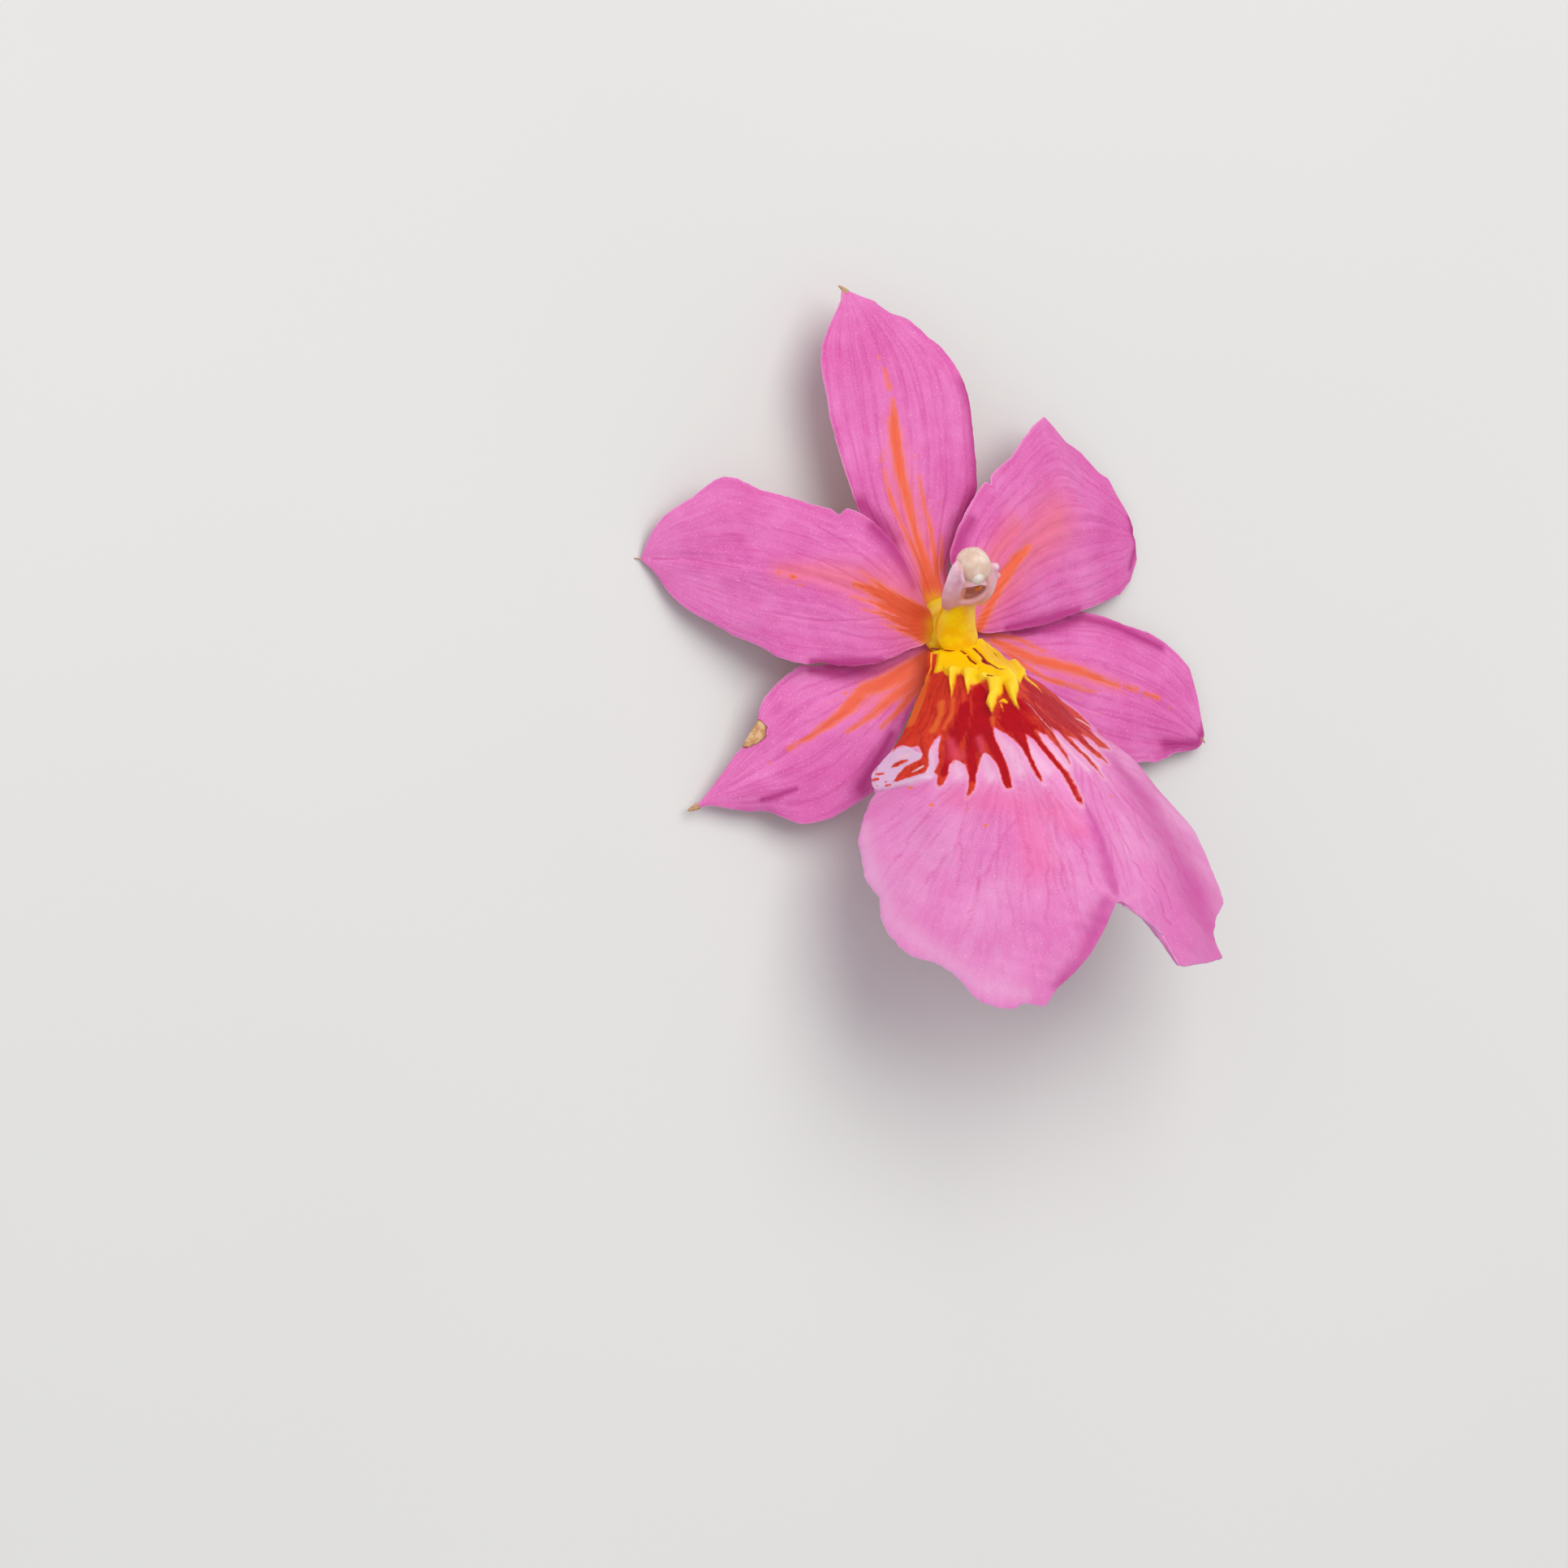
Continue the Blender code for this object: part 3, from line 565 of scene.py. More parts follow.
# A painted mark: where the field is above zero the mark shows, with its own edge and core colours.
mark, given, result = new_group(
    "painted_mark",
    (("Spot", ARROW, None), ("Under", COLOUR, WHITE), ("Edge", COLOUR, WHITE),
     ("Core", COLOUR, WHITE), ("Field", NUMBER, 0.0), ("Ragged", NUMBER, 0.2), ("Grain", NUMBER, 1800.0),
     ("Soft", NUMBER, 0.08), ("Depth", NUMBER, 0.4), ("Strength", NUMBER, 1.0)),
    (("Colour", COLOUR), ("Mask", NUMBER)),
)
rough = maths(mark, "SUBTRACT", noise(mark, given["Spot"], given["Grain"], 3.0, 0.6), 0.5)
field = maths(mark, "ADD", given["Field"], maths(mark, "MULTIPLY", rough, given["Ragged"]))
low = maths(mark, "MULTIPLY", given["Soft"], -1.0)
mask = maths(mark, "MULTIPLY", ramp(mark, field, low, given["Soft"]), given["Strength"])
core = blend(mark, ramp(mark, field, 0.0, given["Depth"]), given["Edge"], given["Core"])
mark.links.new(blend(mark, mask, given["Under"], core), result["Colour"])
mark.links.new(mask, result["Mask"])


def new_material(name):
    """A material with its tree, its shader, and the object's own coordinates."""
    material = bpy.data.materials.new(name)
    material.use_nodes = True
    tree = material.node_tree
    shader = tree.nodes["Principled BSDF"]
    spot = tree.nodes.new("ShaderNodeTexCoord").outputs["Object"]
    return SimpleNamespace(material=material, tree=tree, shader=shader, spot=spot)


def field_of(finish, name):
    return add(finish.tree, "ShaderNodeAttribute", attribute_name=name).outputs["Fac"]


def lengthwise(finish, along_scale, across_scale):
    """Coordinates in which a texture is drawn out along the blade."""
    run = maths(finish.tree, "MULTIPLY", field_of(finish, "place"), along_scale)
    side = maths(finish.tree, "MULTIPLY", field_of(finish, "across"), across_scale)
    return add(finish.tree, "ShaderNodeCombineXYZ", {"X": run, "Y": side}).outputs[0]


def use_group(finish, group, inputs):
    return add(finish.tree, "ShaderNodeGroup", inputs, node_tree=group)


def paint(
    finish, under, edge, core, field, ragged=0.2, grain=1800.0, soft=0.08, depth=0.4, strength=1.0,
    spot=None,
):
    inputs = {"Spot": spot or finish.spot, "Under": under, "Edge": edge, "Core": core, "Field": field,
              "Ragged": ragged, "Grain": grain, "Soft": soft, "Depth": depth, "Strength": strength}
    return use_group(finish, mark, inputs).outputs["Colour"]


def tint(finish, name, share, under, over):
    """A colour laid over another where the mesh's field says so."""
    return blend(finish.tree, maths(finish.tree, "MULTIPLY", field_of(finish, name), share), under, over)


def clouded(finish, scale, detail, low, high, under, over):
    """Two colours mixed in soft clouds of this scale."""
    clouds = noise(finish.tree, finish.spot, scale, detail)
    return blend(finish.tree, ramp(finish.tree, clouds, low, high), under, over)


def surface(finish, colour, height, strength, depth):
    """The colour and the fine relief of a material. depth is in mm."""
    finish.tree.links.new(colour, finish.shader.inputs["Base Color"])
    bump = add(
        finish.tree, "ShaderNodeBump", {"Height": height, "Strength": strength, "Distance": depth * MM},
    )
    finish.tree.links.new(bump.outputs["Normal"], finish.shader.inputs["Normal"])


def wax(finish, roughness, share, radius=None):
    """A waxy surface that light sinks into by this share, to a different depth in each colour."""
    finish.shader.inputs["Roughness"].default_value = roughness
    finish.shader.inputs["Subsurface Weight"].default_value = share
    finish.shader.inputs["Subsurface Scale"].default_value = WAX_DEPTH
    if radius:
        finish.shader.inputs["Subsurface Radius"].default_value = radius


TISSUE_RELIEF = (0.35, 0.12)
WAX_DEPTH = 0.0008
SHEET_SHARE = 0.28
SHEET_DEPTH = 0.0007
SHEET_GLOSS = 0.16
PETAL_LIGHT = srgb(234, 132, 196)
PETAL_DEEP = srgb(220, 96, 172)
PETAL_VEIN = srgb(200, 52, 140)
PETAL_RIM = srgb(244, 178, 214)
PAINTED_SHADE_MAGENTA = srgb(176, 40, 122)
STREAK_EDGE = srgb(240, 124, 96)
STREAK_CORE = srgb(240, 104, 58)
FOOT_YELLOW = srgb(248, 188, 30)
BACK_CREAM = srgb(243, 196, 128)
BACK_PINK = srgb(229, 130, 190)


def petal_finish(name, streak_core=STREAK_CORE, dry_spot=False):
    """Living petal tissue, with painted shade in deep magenta and orange streaks on the front, and a cream
    band behind the midrib.
    """
    finish = new_material(name)
    tree = finish.tree
    vein = field_of(finish, "vein")
    inputs = {"Spot": finish.spot, "Along": lengthwise(finish, 9.0, 16.0), "Light": PETAL_LIGHT,
              "Deep": PETAL_DEEP, "Vein Colour": PETAL_VEIN, "Vein": vein, "Vein Strength": 0.4,
              "Inset": field_of(finish, "inset"), "Rim Colour": PETAL_RIM}
    flesh = use_group(finish, tissue, inputs)
    # Painted shade: deep magenta laid where margins curl away and where neighbouring blades cast their
    # shadow.
    front = tint(finish, "shade", 0.8, flesh.outputs["Colour"], PAINTED_SHADE_MAGENTA)
    front = tint(finish, "blush", 0.62, front, srgb(240, 122, 130))
    drawn = lengthwise(finish, 18.0, 26.0)
    front = paint(
        finish, front, STREAK_EDGE, streak_core, field_of(finish, "streak"), 1.1, 1.0, 0.26, 0.5, 0.9, drawn,
    )
    front = blend(tree, field_of(finish, "glow"), front, FOOT_YELLOW)
    if dry_spot:
        scab = ramp(tree, noise(tree, finish.spot, 1500.0, 4.0), 0.4, 0.6)
        scab = blend(tree, scab, srgb(196, 146, 96), srgb(226, 184, 140))
        front = paint(
            finish, front, srgb(132, 70, 50), scab, field_of(finish, "dry"), 0.5, 1600.0, 0.05, 0.26,
        )
    behind = tint(finish, "band", 0.85, BACK_PINK, BACK_CREAM)
    behind = blend(tree, maths(tree, "MULTIPLY", vein, 0.35), behind, PETAL_VEIN)
    both = blend(tree, ramp(tree, field_of(finish, "back"), 0.35, 0.65), front, behind)
    surface(finish, both, flesh.outputs["Height"], *TISSUE_RELIEF)
    gloss = ramp(tree, noise(tree, finish.spot, 900.0, 2.0), 0.2, 0.8)
    rough = add(tree, "ShaderNodeMapRange", {"Value": gloss, "To Min": 0.42, "To Max": 0.6}).outputs["Result"]
    tree.links.new(rough, finish.shader.inputs["Roughness"])
    living_sheet(finish.shader)
    return finish.material


def living_sheet(shader):
    """Light that sinks into thin wet tissue and out again."""
    shader.inputs["Subsurface Weight"].default_value = SHEET_SHARE
    shader.inputs["Subsurface Radius"].default_value = (1.0, 0.45, 0.7)
    shader.inputs["Subsurface Scale"].default_value = SHEET_DEPTH
    shader.inputs["Specular IOR Level"].default_value = SHEET_GLOSS


def midrib_band(blade, width, last):
    """1 along the midrib's back near the foot, 0 away from it and past last."""
    gap = np.abs(blade.across)[None, :] * blade.reach
    fade = np.clip((last - blade.places) / 0.35, 0, 1)[:, None]
    return np.exp(-((gap / (width * (0.6 + fade))) ** 2)) * fade


def make_tepal(
    name, node, rungs, edges, seed, streaks, glow, blush, shade, finish, band=2.4, veins=9, lines=(), dry=(),
):
    blade = shape_blade(
        rungs, TEPAL_ROWS, TEPAL_COLUMNS, TEPAL_FOLD, TEPAL_RIPPLE, TEPAL_WAVES, edges, seed, TEPAL_SCALLOP,
    )
    vein = grown_veins(blade, seed, veins, 2, TEPAL_VEIN_WIDTH)
    if lines:
        vein = np.maximum(vein * 0.6, np.clip(inside_strokes(blade, lines, 0.8) / 0.12 + 1, 0, 1))
    fields = {
        "vein": vein,
        "streak": inside_strokes(blade, streaks),
        "glow": near_strokes(blade, glow),
        "blush": near_strokes(blade, blush),
        # The shade field is painted shade: deep magenta where margins curl away and where neighbouring blades
        # cast their shadow.
        "shade": near_strokes(blade, shade),
        "band": midrib_band(blade, band, TEPAL_BAND_END),
        "dry": inside_outline(blade.pixels, dry) if dry else np.full(vein.shape, NOWHERE),
    }
    edge_fade = np.clip(1 - np.abs(blade.across) ** 8, 0, 1)[None, :]
    relief = TEPAL_SWELL * swells(blade.points, seed + 7, 5.0, 11.0) * edge_fade - VEIN_DEPTH * vein
    relief += FINE_SWELL * swells(blade.points, seed + 8, 1.4, 2.8) * edge_fade
    relief -= MIDRIB_DEPTH * np.exp(-((blade.across[None, :] * blade.reach / MIDRIB_WIDTH) ** 2))
    made = close_shell(
        name, blade, blade_half_thickness(blade, TEPAL_MIDDLE_THICKNESS, MARGIN_THICKNESS), relief, fields,
    )
    made.data.materials.append(finish)
    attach(made, "root")
    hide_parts(node)
    return blade


petal_pink = petal_finish("petal_pink")
upright_blade = make_tepal(
    "upright_sepal", "dorsal_sepal", UPRIGHT_SEPAL, (UPRIGHT_LEFT_EDGE, UPRIGHT_RIGHT_EDGE), 11,
    UPRIGHT_STREAKS, UPRIGHT_GLOW, UPRIGHT_BLUSH, UPRIGHT_PAINTED_SHADE, petal_pink,
)


# Petals
# The two inner blades at the flower's sides, in front of the sepals. They are the same tissue, with a deep
# orange patch at the foot, faint veins, and each with its own nick in the upper margin.
PETAL_LEFT = (
    ((-2.1, 2.4, 0.3), (-2.0, 1.0, 0.3), (-2.1, -0.6, 0.2)),
    ((-3.4, 7.0, 0.6), (-5.2, 2.9, 0.5), (-5.2, -1.4, -0.2)),
    ((-5.1, 12.0, 0.8), (-8.0, 5.0, 0.4), (-8.2, -1.8, -0.6)),
    ((-7.3, 15.5, 0.5), (-10.4, 6.8, 0.1), (-10.6, -1.5, -1.1)),
    ((-9.8, 15.1, -0.2), (-12.6, 8.3, -0.5), (-12.8, -1.0, -1.6)),
    ((-13.0, 17.7, -1.2), (-15.2, 9.9, -1.2), (-15.6, -0.2, -2.3)),
    ((-16.6, 20.2, -2.4), (-18.3, 11.6, -2.2), (-18.8, 1.2, -3.3)),
    ((-20.4, 22.7, -4.0), (-21.4, 13.1, -3.5), (-22.0, 3.7, -4.6)),
    ((-24.2, 22.0, -5.8), (-24.5, 14.5, -5.2), (-25.0, 7.0, -6.0)),
    ((-27.6, 19.9, -7.6), (-27.6, 15.7, -7.2), (-27.9, 10.6, -7.6)),
    ((-30.4, 16.3, -9.1), (-30.4, 16.3, -9.1), (-30.4, 16.3, -9.1)),
)
PETAL_LEFT_UPPER_EDGE = (
    (1126, 714), (1113, 687), (1098, 665), (1076, 642), (1056, 630), (1044, 626), (1038, 630), (1034, 636),
    (1030, 631), (1023, 626), (1009, 624), (984, 616), (964, 610), (939, 604), (922, 596), (909, 589),
    (892, 587), (880, 591), (867, 601), (855, 611), (832, 625), (817, 636), (805, 652), (796, 670),
)
PETAL_LEFT_LOWER_EDGE = (
    (1123, 799), (1098, 811), (1079, 818), (1051, 821), (1031, 820), (1011, 816), (994, 819), (979, 816),
    (959, 810), (942, 800), (924, 791), (904, 784), (887, 773), (862, 760), (845, 750), (832, 739),
    (820, 726), (812, 712), (800, 697),
)
PETAL_LEFT_STREAKS = (
    ((1056, 703, 0.06), (1080, 718, 0.3), (1105, 738, 0.7), (1140, 762, 1.2)),
    ((1052, 720, 0.3), (1066, 723, 0.55), (1084, 731, 0.8), (1110, 746, 1.1), (1142, 768, 1.5)),
    ((1046, 735, 0.05), (1070, 740, 0.25), (1100, 752, 0.7), (1142, 775, 1.4)),
    ((1062, 750, 0.05), (1084, 756, 0.3), (1110, 766, 0.7), (1142, 780, 1.2)),
    ((1086, 768, 0.05), (1104, 774, 0.3), (1142, 786, 0.9)),
    ((975, 710, 0.3), (978, 711, 0.32)),
    ((986, 720, 0.22),),
    ((959, 705, 0.14),),
)
PETAL_LEFT_GLOW = (((1150, 770, 1.1), (1154, 790, 1.4)),)
PETAL_LEFT_BLUSH = (
    ((1010, 706, 1.3), (1050, 715, 2.0), (1085, 728, 2.8), (1125, 750, 3.6)),
    ((960, 704, 1.0), (1010, 706, 1.3)),
)
# Painted shade on the left petal: along its curled margin by the upright sepal and along its lower margin.
PETAL_LEFT_PAINTED_SHADE = (
    ((1076, 650, 0.9), (1098, 672, 1.2), (1114, 698, 1.0), (1124, 722, 0.6)),
    ((1000, 815, 0.5), (1045, 817, 0.7), (1085, 814, 0.5)),
)
PETAL_LEFT_LINES = (
    ((982, 682, 0.06), (1014, 692, 0.08), (1049, 712, 0.1), (1080, 728, 0.06)),
    ((932, 640, 0.05), (954, 652, 0.07), (991, 662, 0.07), (1011, 670, 0.05)),
    ((805, 689, 0.05), (855, 689, 0.07), (875, 694, 0.06), (912, 700, 0.05)),
    ((952, 754, 0.05), (984, 762, 0.08), (1016, 765, 0.08), (1059, 764, 0.07), (1091, 761, 0.05)),
    ((884, 667, 0.05), (919, 667, 0.07)),
    ((912, 714, 0.05), (949, 729, 0.07), (969, 739, 0.06)),
    ((1000, 645, 0.04), (1040, 668, 0.06), (1085, 705, 0.06)),
)
PETAL_RIGHT = (
    ((2.1, 2.4, 0.3), (2.0, 1.0, 0.3), (2.1, -0.6, 0.2)),
    ((2.6, 6.6, 0.5), (5.2, 2.6, 0.4), (5.2, -1.3, -0.4)),
    ((4.4, 11.4, 0.7), (8.0, 4.5, 0.2), (8.4, -1.7, -1.3)),
    ((7.4, 14.1, 0.5), (10.4, 5.9, -0.2), (10.9, -1.9, -2.2)),
    ((9.9, 14.6, -0.1), (12.6, 6.9, -0.9), (13.3, -2.0, -2.9)),
    ((13.4, 16.6, -1.1), (15.2, 7.7, -1.8), (16.2, -2.0, -3.9)),
    ((17.0, 18.8, -2.4), (18.2, 8.1, -2.9), (19.6, -1.9, -5.1)),
    ((20.5, 20.2, -3.8), (21.2, 8.1, -4.2), (22.9, -1.4, -6.4)),
    ((24.2, 15.8, -5.7), (24.5, 7.5, -5.7), (26.0, -0.6, -7.6)),
    ((27.6, 11.9, -7.3), (27.7, 6.2, -7.3), (28.6, 1.0, -8.6)),
    ((30.2, 7.4, -8.5), (30.7, 5.0, -8.9), (30.4, 2.8, -9.1)),
)
PETAL_RIGHT_UPPER_EDGE = (
    (1172, 697), (1170, 682), (1178, 655), (1192, 626), (1204, 606), (1213, 594), (1217, 594), (1221, 598),
    (1220, 588), (1226, 579), (1245, 564), (1260, 541), (1274, 523), (1286, 513), (1298, 526), (1312, 544),
    (1330, 556), (1353, 582), (1377, 597), (1386, 614), (1395, 638), (1404, 664),
)
PETAL_RIGHT_LOWER_EDGE = (
    (1213, 781), (1248, 777), (1289, 770), (1333, 753), (1359, 743), (1380, 732), (1392, 717), (1399, 694),
    (1404, 676),
)
PETAL_RIGHT_STREAKS = (
    ((1198, 790, 0.8), (1206, 770, 0.75), (1216, 748, 0.7), (1233, 717, 0.75), (1250, 690, 0.75),
     (1268, 673, 0.35)),
)
PETAL_RIGHT_GLOW = (((1186, 790, 0.8), (1190, 770, 0.8)),)
PETAL_RIGHT_BLUSH = (
    ((1205, 765, 1.6), (1235, 720, 2.6), (1262, 680, 3.0), (1300, 640, 3.2)),
    ((1220, 690, 1.6), (1250, 650, 1.8)),
)
# Painted shade on the right petal: along its curled margin by the upright sepal, along its lower margin and
# near its tip.
PETAL_RIGHT_PAINTED_SHADE = (
    ((1197, 640, 0.6), (1184, 662, 0.9), (1176, 690, 1.0)),
    ((1240, 774, 0.5), (1290, 764, 0.9), (1328, 752, 0.6)),
    ((1390, 640, 0.5), (1400, 672, 0.6), (1390, 700, 0.5)),
)
petal_left_blade = make_tepal(
    "petal_left_blade", "petal_left", PETAL_LEFT, (PETAL_LEFT_UPPER_EDGE, PETAL_LEFT_LOWER_EDGE), 23,
    PETAL_LEFT_STREAKS, PETAL_LEFT_GLOW, PETAL_LEFT_BLUSH, PETAL_LEFT_PAINTED_SHADE,
    petal_finish("petal_pink_left", streak_core=srgb(222, 84, 22)), veins=13, lines=PETAL_LEFT_LINES,
)
make_tepal(
    "petal_right_blade", "petal_right", PETAL_RIGHT, (PETAL_RIGHT_UPPER_EDGE, PETAL_RIGHT_LOWER_EDGE), 37,
    PETAL_RIGHT_STREAKS, PETAL_RIGHT_GLOW, PETAL_RIGHT_BLUSH, PETAL_RIGHT_PAINTED_SHADE, petal_pink, veins=13,
)


# Side sepals
# The two lower outer blades, behind the petals and the lip. Orange streaks run out from their feet and break
# up into dashes. The left one has a dry tan spot on its upper margin.
SIDE_SEPAL_LEFT = (
    ((-2.2, -0.2, -1.8), (-1.8, -1.4, -1.7), (-1.1, -2.3, -1.7)),
    ((-6.0, -0.9, -2.3), (-6.3, -3.4, -2.0), (-5.2, -6.6, -2.2)),
    ((-10.0, -0.6, -3.1), (-10.2, -5.0, -2.6), (-8.8, -10.6, -2.6)),
    ((-14.0, -0.3, -4.0), (-14.0, -6.3, -3.3), (-12.6, -14.0, -3.4)),
    ((-17.6, -0.2, -4.8), (-17.8, -7.6, -4.0), (-16.6, -16.4, -4.4)),
    ((-20.6, -1.3, -5.4), (-21.3, -8.7, -4.8), (-20.8, -16.9, -5.6)),
    ((-23.4, -3.6, -6.0), (-24.6, -9.6, -5.7), (-24.2, -14.8, -6.5)),
    ((-26.2, -6.9, -6.7), (-27.5, -10.4, -6.6), (-27.4, -13.6, -7.2)),
    ((-29.4, -9.9, -7.5), (-30.2, -11.1, -7.4), (-30.2, -12.3, -7.7)),
    ((-32.6, -11.9, -8.0), (-32.6, -11.9, -8.0), (-32.6, -11.9, -8.0)),
)
SIDE_LEFT_UPPER_EDGE = (
    (989, 818), (972, 829), (956, 843), (942, 859), (935, 873), (934, 887), (926, 900), (918, 914),
    (915, 921),
    (905, 931), (893, 949), (880, 966), (870, 978),
)
SIDE_LEFT_LOWER_EDGE = (
    (1079, 975), (1064, 984), (1046, 996), (1025, 1008), (1007, 1013), (989, 1016), (976, 1012), (964, 1007),
    (950, 1001), (936, 999), (921, 1000), (901, 997), (881, 993), (868, 991),
)
SIDE_LEFT_STREAKS = (
    ((1146, 808, 0.9), (1120, 826, 1.1), (1095, 839, 0.95), (1064, 850, 0.8), (1046, 871, 0.8),
     (1023, 890, 0.6),
     (997, 908, 0.34), (984, 915, 0.2)),
    ((980, 918, 0.3), (972, 923, 0.32)),
    ((1146, 815, 0.9), (1130, 838, 0.8), (1095, 862, 0.6), (1074, 881, 0.45), (1057, 893, 0.24),
     (1042, 902, 0.28)),
    ((1142, 830, 0.8), (1130, 848, 0.6), (1105, 876, 0.45), (1085, 896, 0.22)),
    ((1041, 855, 0.22),), ((1018, 867, 0.1),), ((1028, 862, 0.08),), ((948, 939, 0.14),),
    ((1075, 896, 0.08),),
)
SIDE_LEFT_GLOW = (((1152, 800, 0.5), (1152, 812, 0.5)),)
SIDE_LEFT_BLUSH = (((1140, 815, 1.6), (1105, 840, 2.0), (1060, 865, 1.4)),)
# Painted shade on the left side sepal: the left petal's shadow along its upper margin, a crease near its tip,
# and shade beside the lip.
SIDE_LEFT_PAINTED_SHADE = (
    ((1000, 826, 0.5), (1040, 832, 0.9), (1085, 828, 0.8), (1118, 812, 0.5)),
    ((938, 984, 0.3), (955, 981, 0.45), (980, 972, 0.3)),
    ((1098, 905, 0.5), (1075, 945, 1.0), (1060, 970, 0.9)),
)
DRY_SPOT = (
    (936, 887), (945, 896), (943, 910), (932, 917), (921, 922), (914, 921), (914, 911), (922, 900),
    (930, 886),
)
SIDE_SEPAL_RIGHT = (
    ((2.2, -0.2, -1.8), (1.8, -1.4, -1.7), (1.1, -2.3, -1.7)),
    ((6.0, -1.2, -2.7), (6.4, -4.1, -2.1), (5.2, -6.8, -2.2)),
    ((10.0, -1.3, -3.8), (10.2, -6.0, -2.8), (8.8, -10.8, -2.7)),
    ((14.2, -1.3, -5.0), (14.0, -7.6, -3.6), (12.6, -14.6, -3.6)),
    ((18.4, -1.7, -5.9), (17.8, -9.1, -4.3), (16.4, -17.6, -4.4)),
    ((22.2, -3.1, -6.3), (21.5, -10.9, -5.0), (19.9, -19.4, -5.3)),
    ((26.4, -5.5, -6.6), (25.0, -13.0, -5.8), (23.6, -20.0, -6.3)),
    ((30.0, -9.2, -7.1), (28.2, -15.4, -6.5), (26.8, -19.8, -7.1)),
    ((32.2, -13.8, -7.7), (30.5, -17.8, -7.3), (29.4, -19.8, -7.7)),
    ((32.1, -17.8, -8.0), (31.9, -19.3, -8.0), (31.0, -19.8, -8.0)),
)
SIDE_RIGHT_UPPER_EDGE = (
    (1333, 753), (1362, 760), (1386, 770), (1415, 779), (1436, 792), (1456, 811), (1474, 834), (1486, 858),
    (1493, 884), (1487, 908), (1490, 919),
)
SIDE_RIGHT_LOWER_EDGE = (
    (1490, 920), (1465, 925), (1447, 928), (1436, 934), (1424, 940), (1412, 938),
)
SIDE_RIGHT_STREAKS = (
    ((1208, 781, 0.3), (1257, 789, 0.34), (1286, 803, 0.2)),
    ((1222, 790, 0.5), (1250, 803, 0.6), (1277, 814, 0.65), (1324, 826, 0.6), (1351, 836, 0.4),
     (1378, 845, 0.3)),
    ((1389, 847, 0.28), (1400, 850, 0.3)),
    ((1409, 855, 0.28), (1425, 860, 0.3)),
    ((1235, 800, 0.35), (1257, 816, 0.42), (1286, 837, 0.34), (1315, 845, 0.3), (1348, 853, 0.16)),
    ((1327, 862, 0.14),), ((1353, 878, 0.1),), ((1270, 790, 0.12),), ((1439, 872, 0.1),),
)
SIDE_RIGHT_GLOW = (((1214, 796, 0.4), (1214, 796, 0.4)),)
SIDE_RIGHT_BLUSH = (((1215, 790, 0.9), (1262, 804, 1.4), (1320, 830, 1.3), (1380, 846, 0.8)),)
# Painted shade on the right side sepal: the right petal's shadow along its upper margin, and shade near its
# tip.
SIDE_RIGHT_PAINTED_SHADE = (
    ((1248, 782, 0.4), (1290, 776, 0.6), (1333, 762, 0.8), (1380, 775, 0.6), (1430, 798, 0.6)),
    ((1484, 895, 0.7), (1474, 915, 0.7), (1436, 918, 0.8)),
)
side_left_blade = make_tepal(
    "side_sepal_left", "lateral_sepal_left", SIDE_SEPAL_LEFT, (SIDE_LEFT_UPPER_EDGE, SIDE_LEFT_LOWER_EDGE),
    41, SIDE_LEFT_STREAKS, SIDE_LEFT_GLOW, SIDE_LEFT_BLUSH, SIDE_LEFT_PAINTED_SHADE,
    petal_finish("sepal_pink_spotted", dry_spot=True), dry=DRY_SPOT,
)
side_right_blade = make_tepal(
    "side_sepal_right", "lateral_sepal_right", SIDE_SEPAL_RIGHT,
    (SIDE_RIGHT_UPPER_EDGE, SIDE_RIGHT_LOWER_EDGE), 59,
    SIDE_RIGHT_STREAKS, SIDE_RIGHT_GLOW, SIDE_RIGHT_BLUSH, SIDE_RIGHT_PAINTED_SHADE, petal_pink,
)


def ring_faces(rounds, sides):
    """The faces between round rings of this many places each, without ends."""
    return [
        (i * sides + k, i * sides + (k + 1) % sides, (i + 1) * sides + (k + 1) % sides, (i + 1) * sides + k)
        for i in range(rounds - 1) for k in range(sides)
    ]


def mesh_piece(name, places, faces, material, fields=None):
    """A closed mesh from places in mm, with its normals pointing outwards."""
    data = mesh_of(name, places, faces=faces)
    for title, values in (fields or {}).items():
        keep_field(data, title, values)
    data.materials.append(material)
    made = placed(name, closed(data))
    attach(made, "root")
    return made


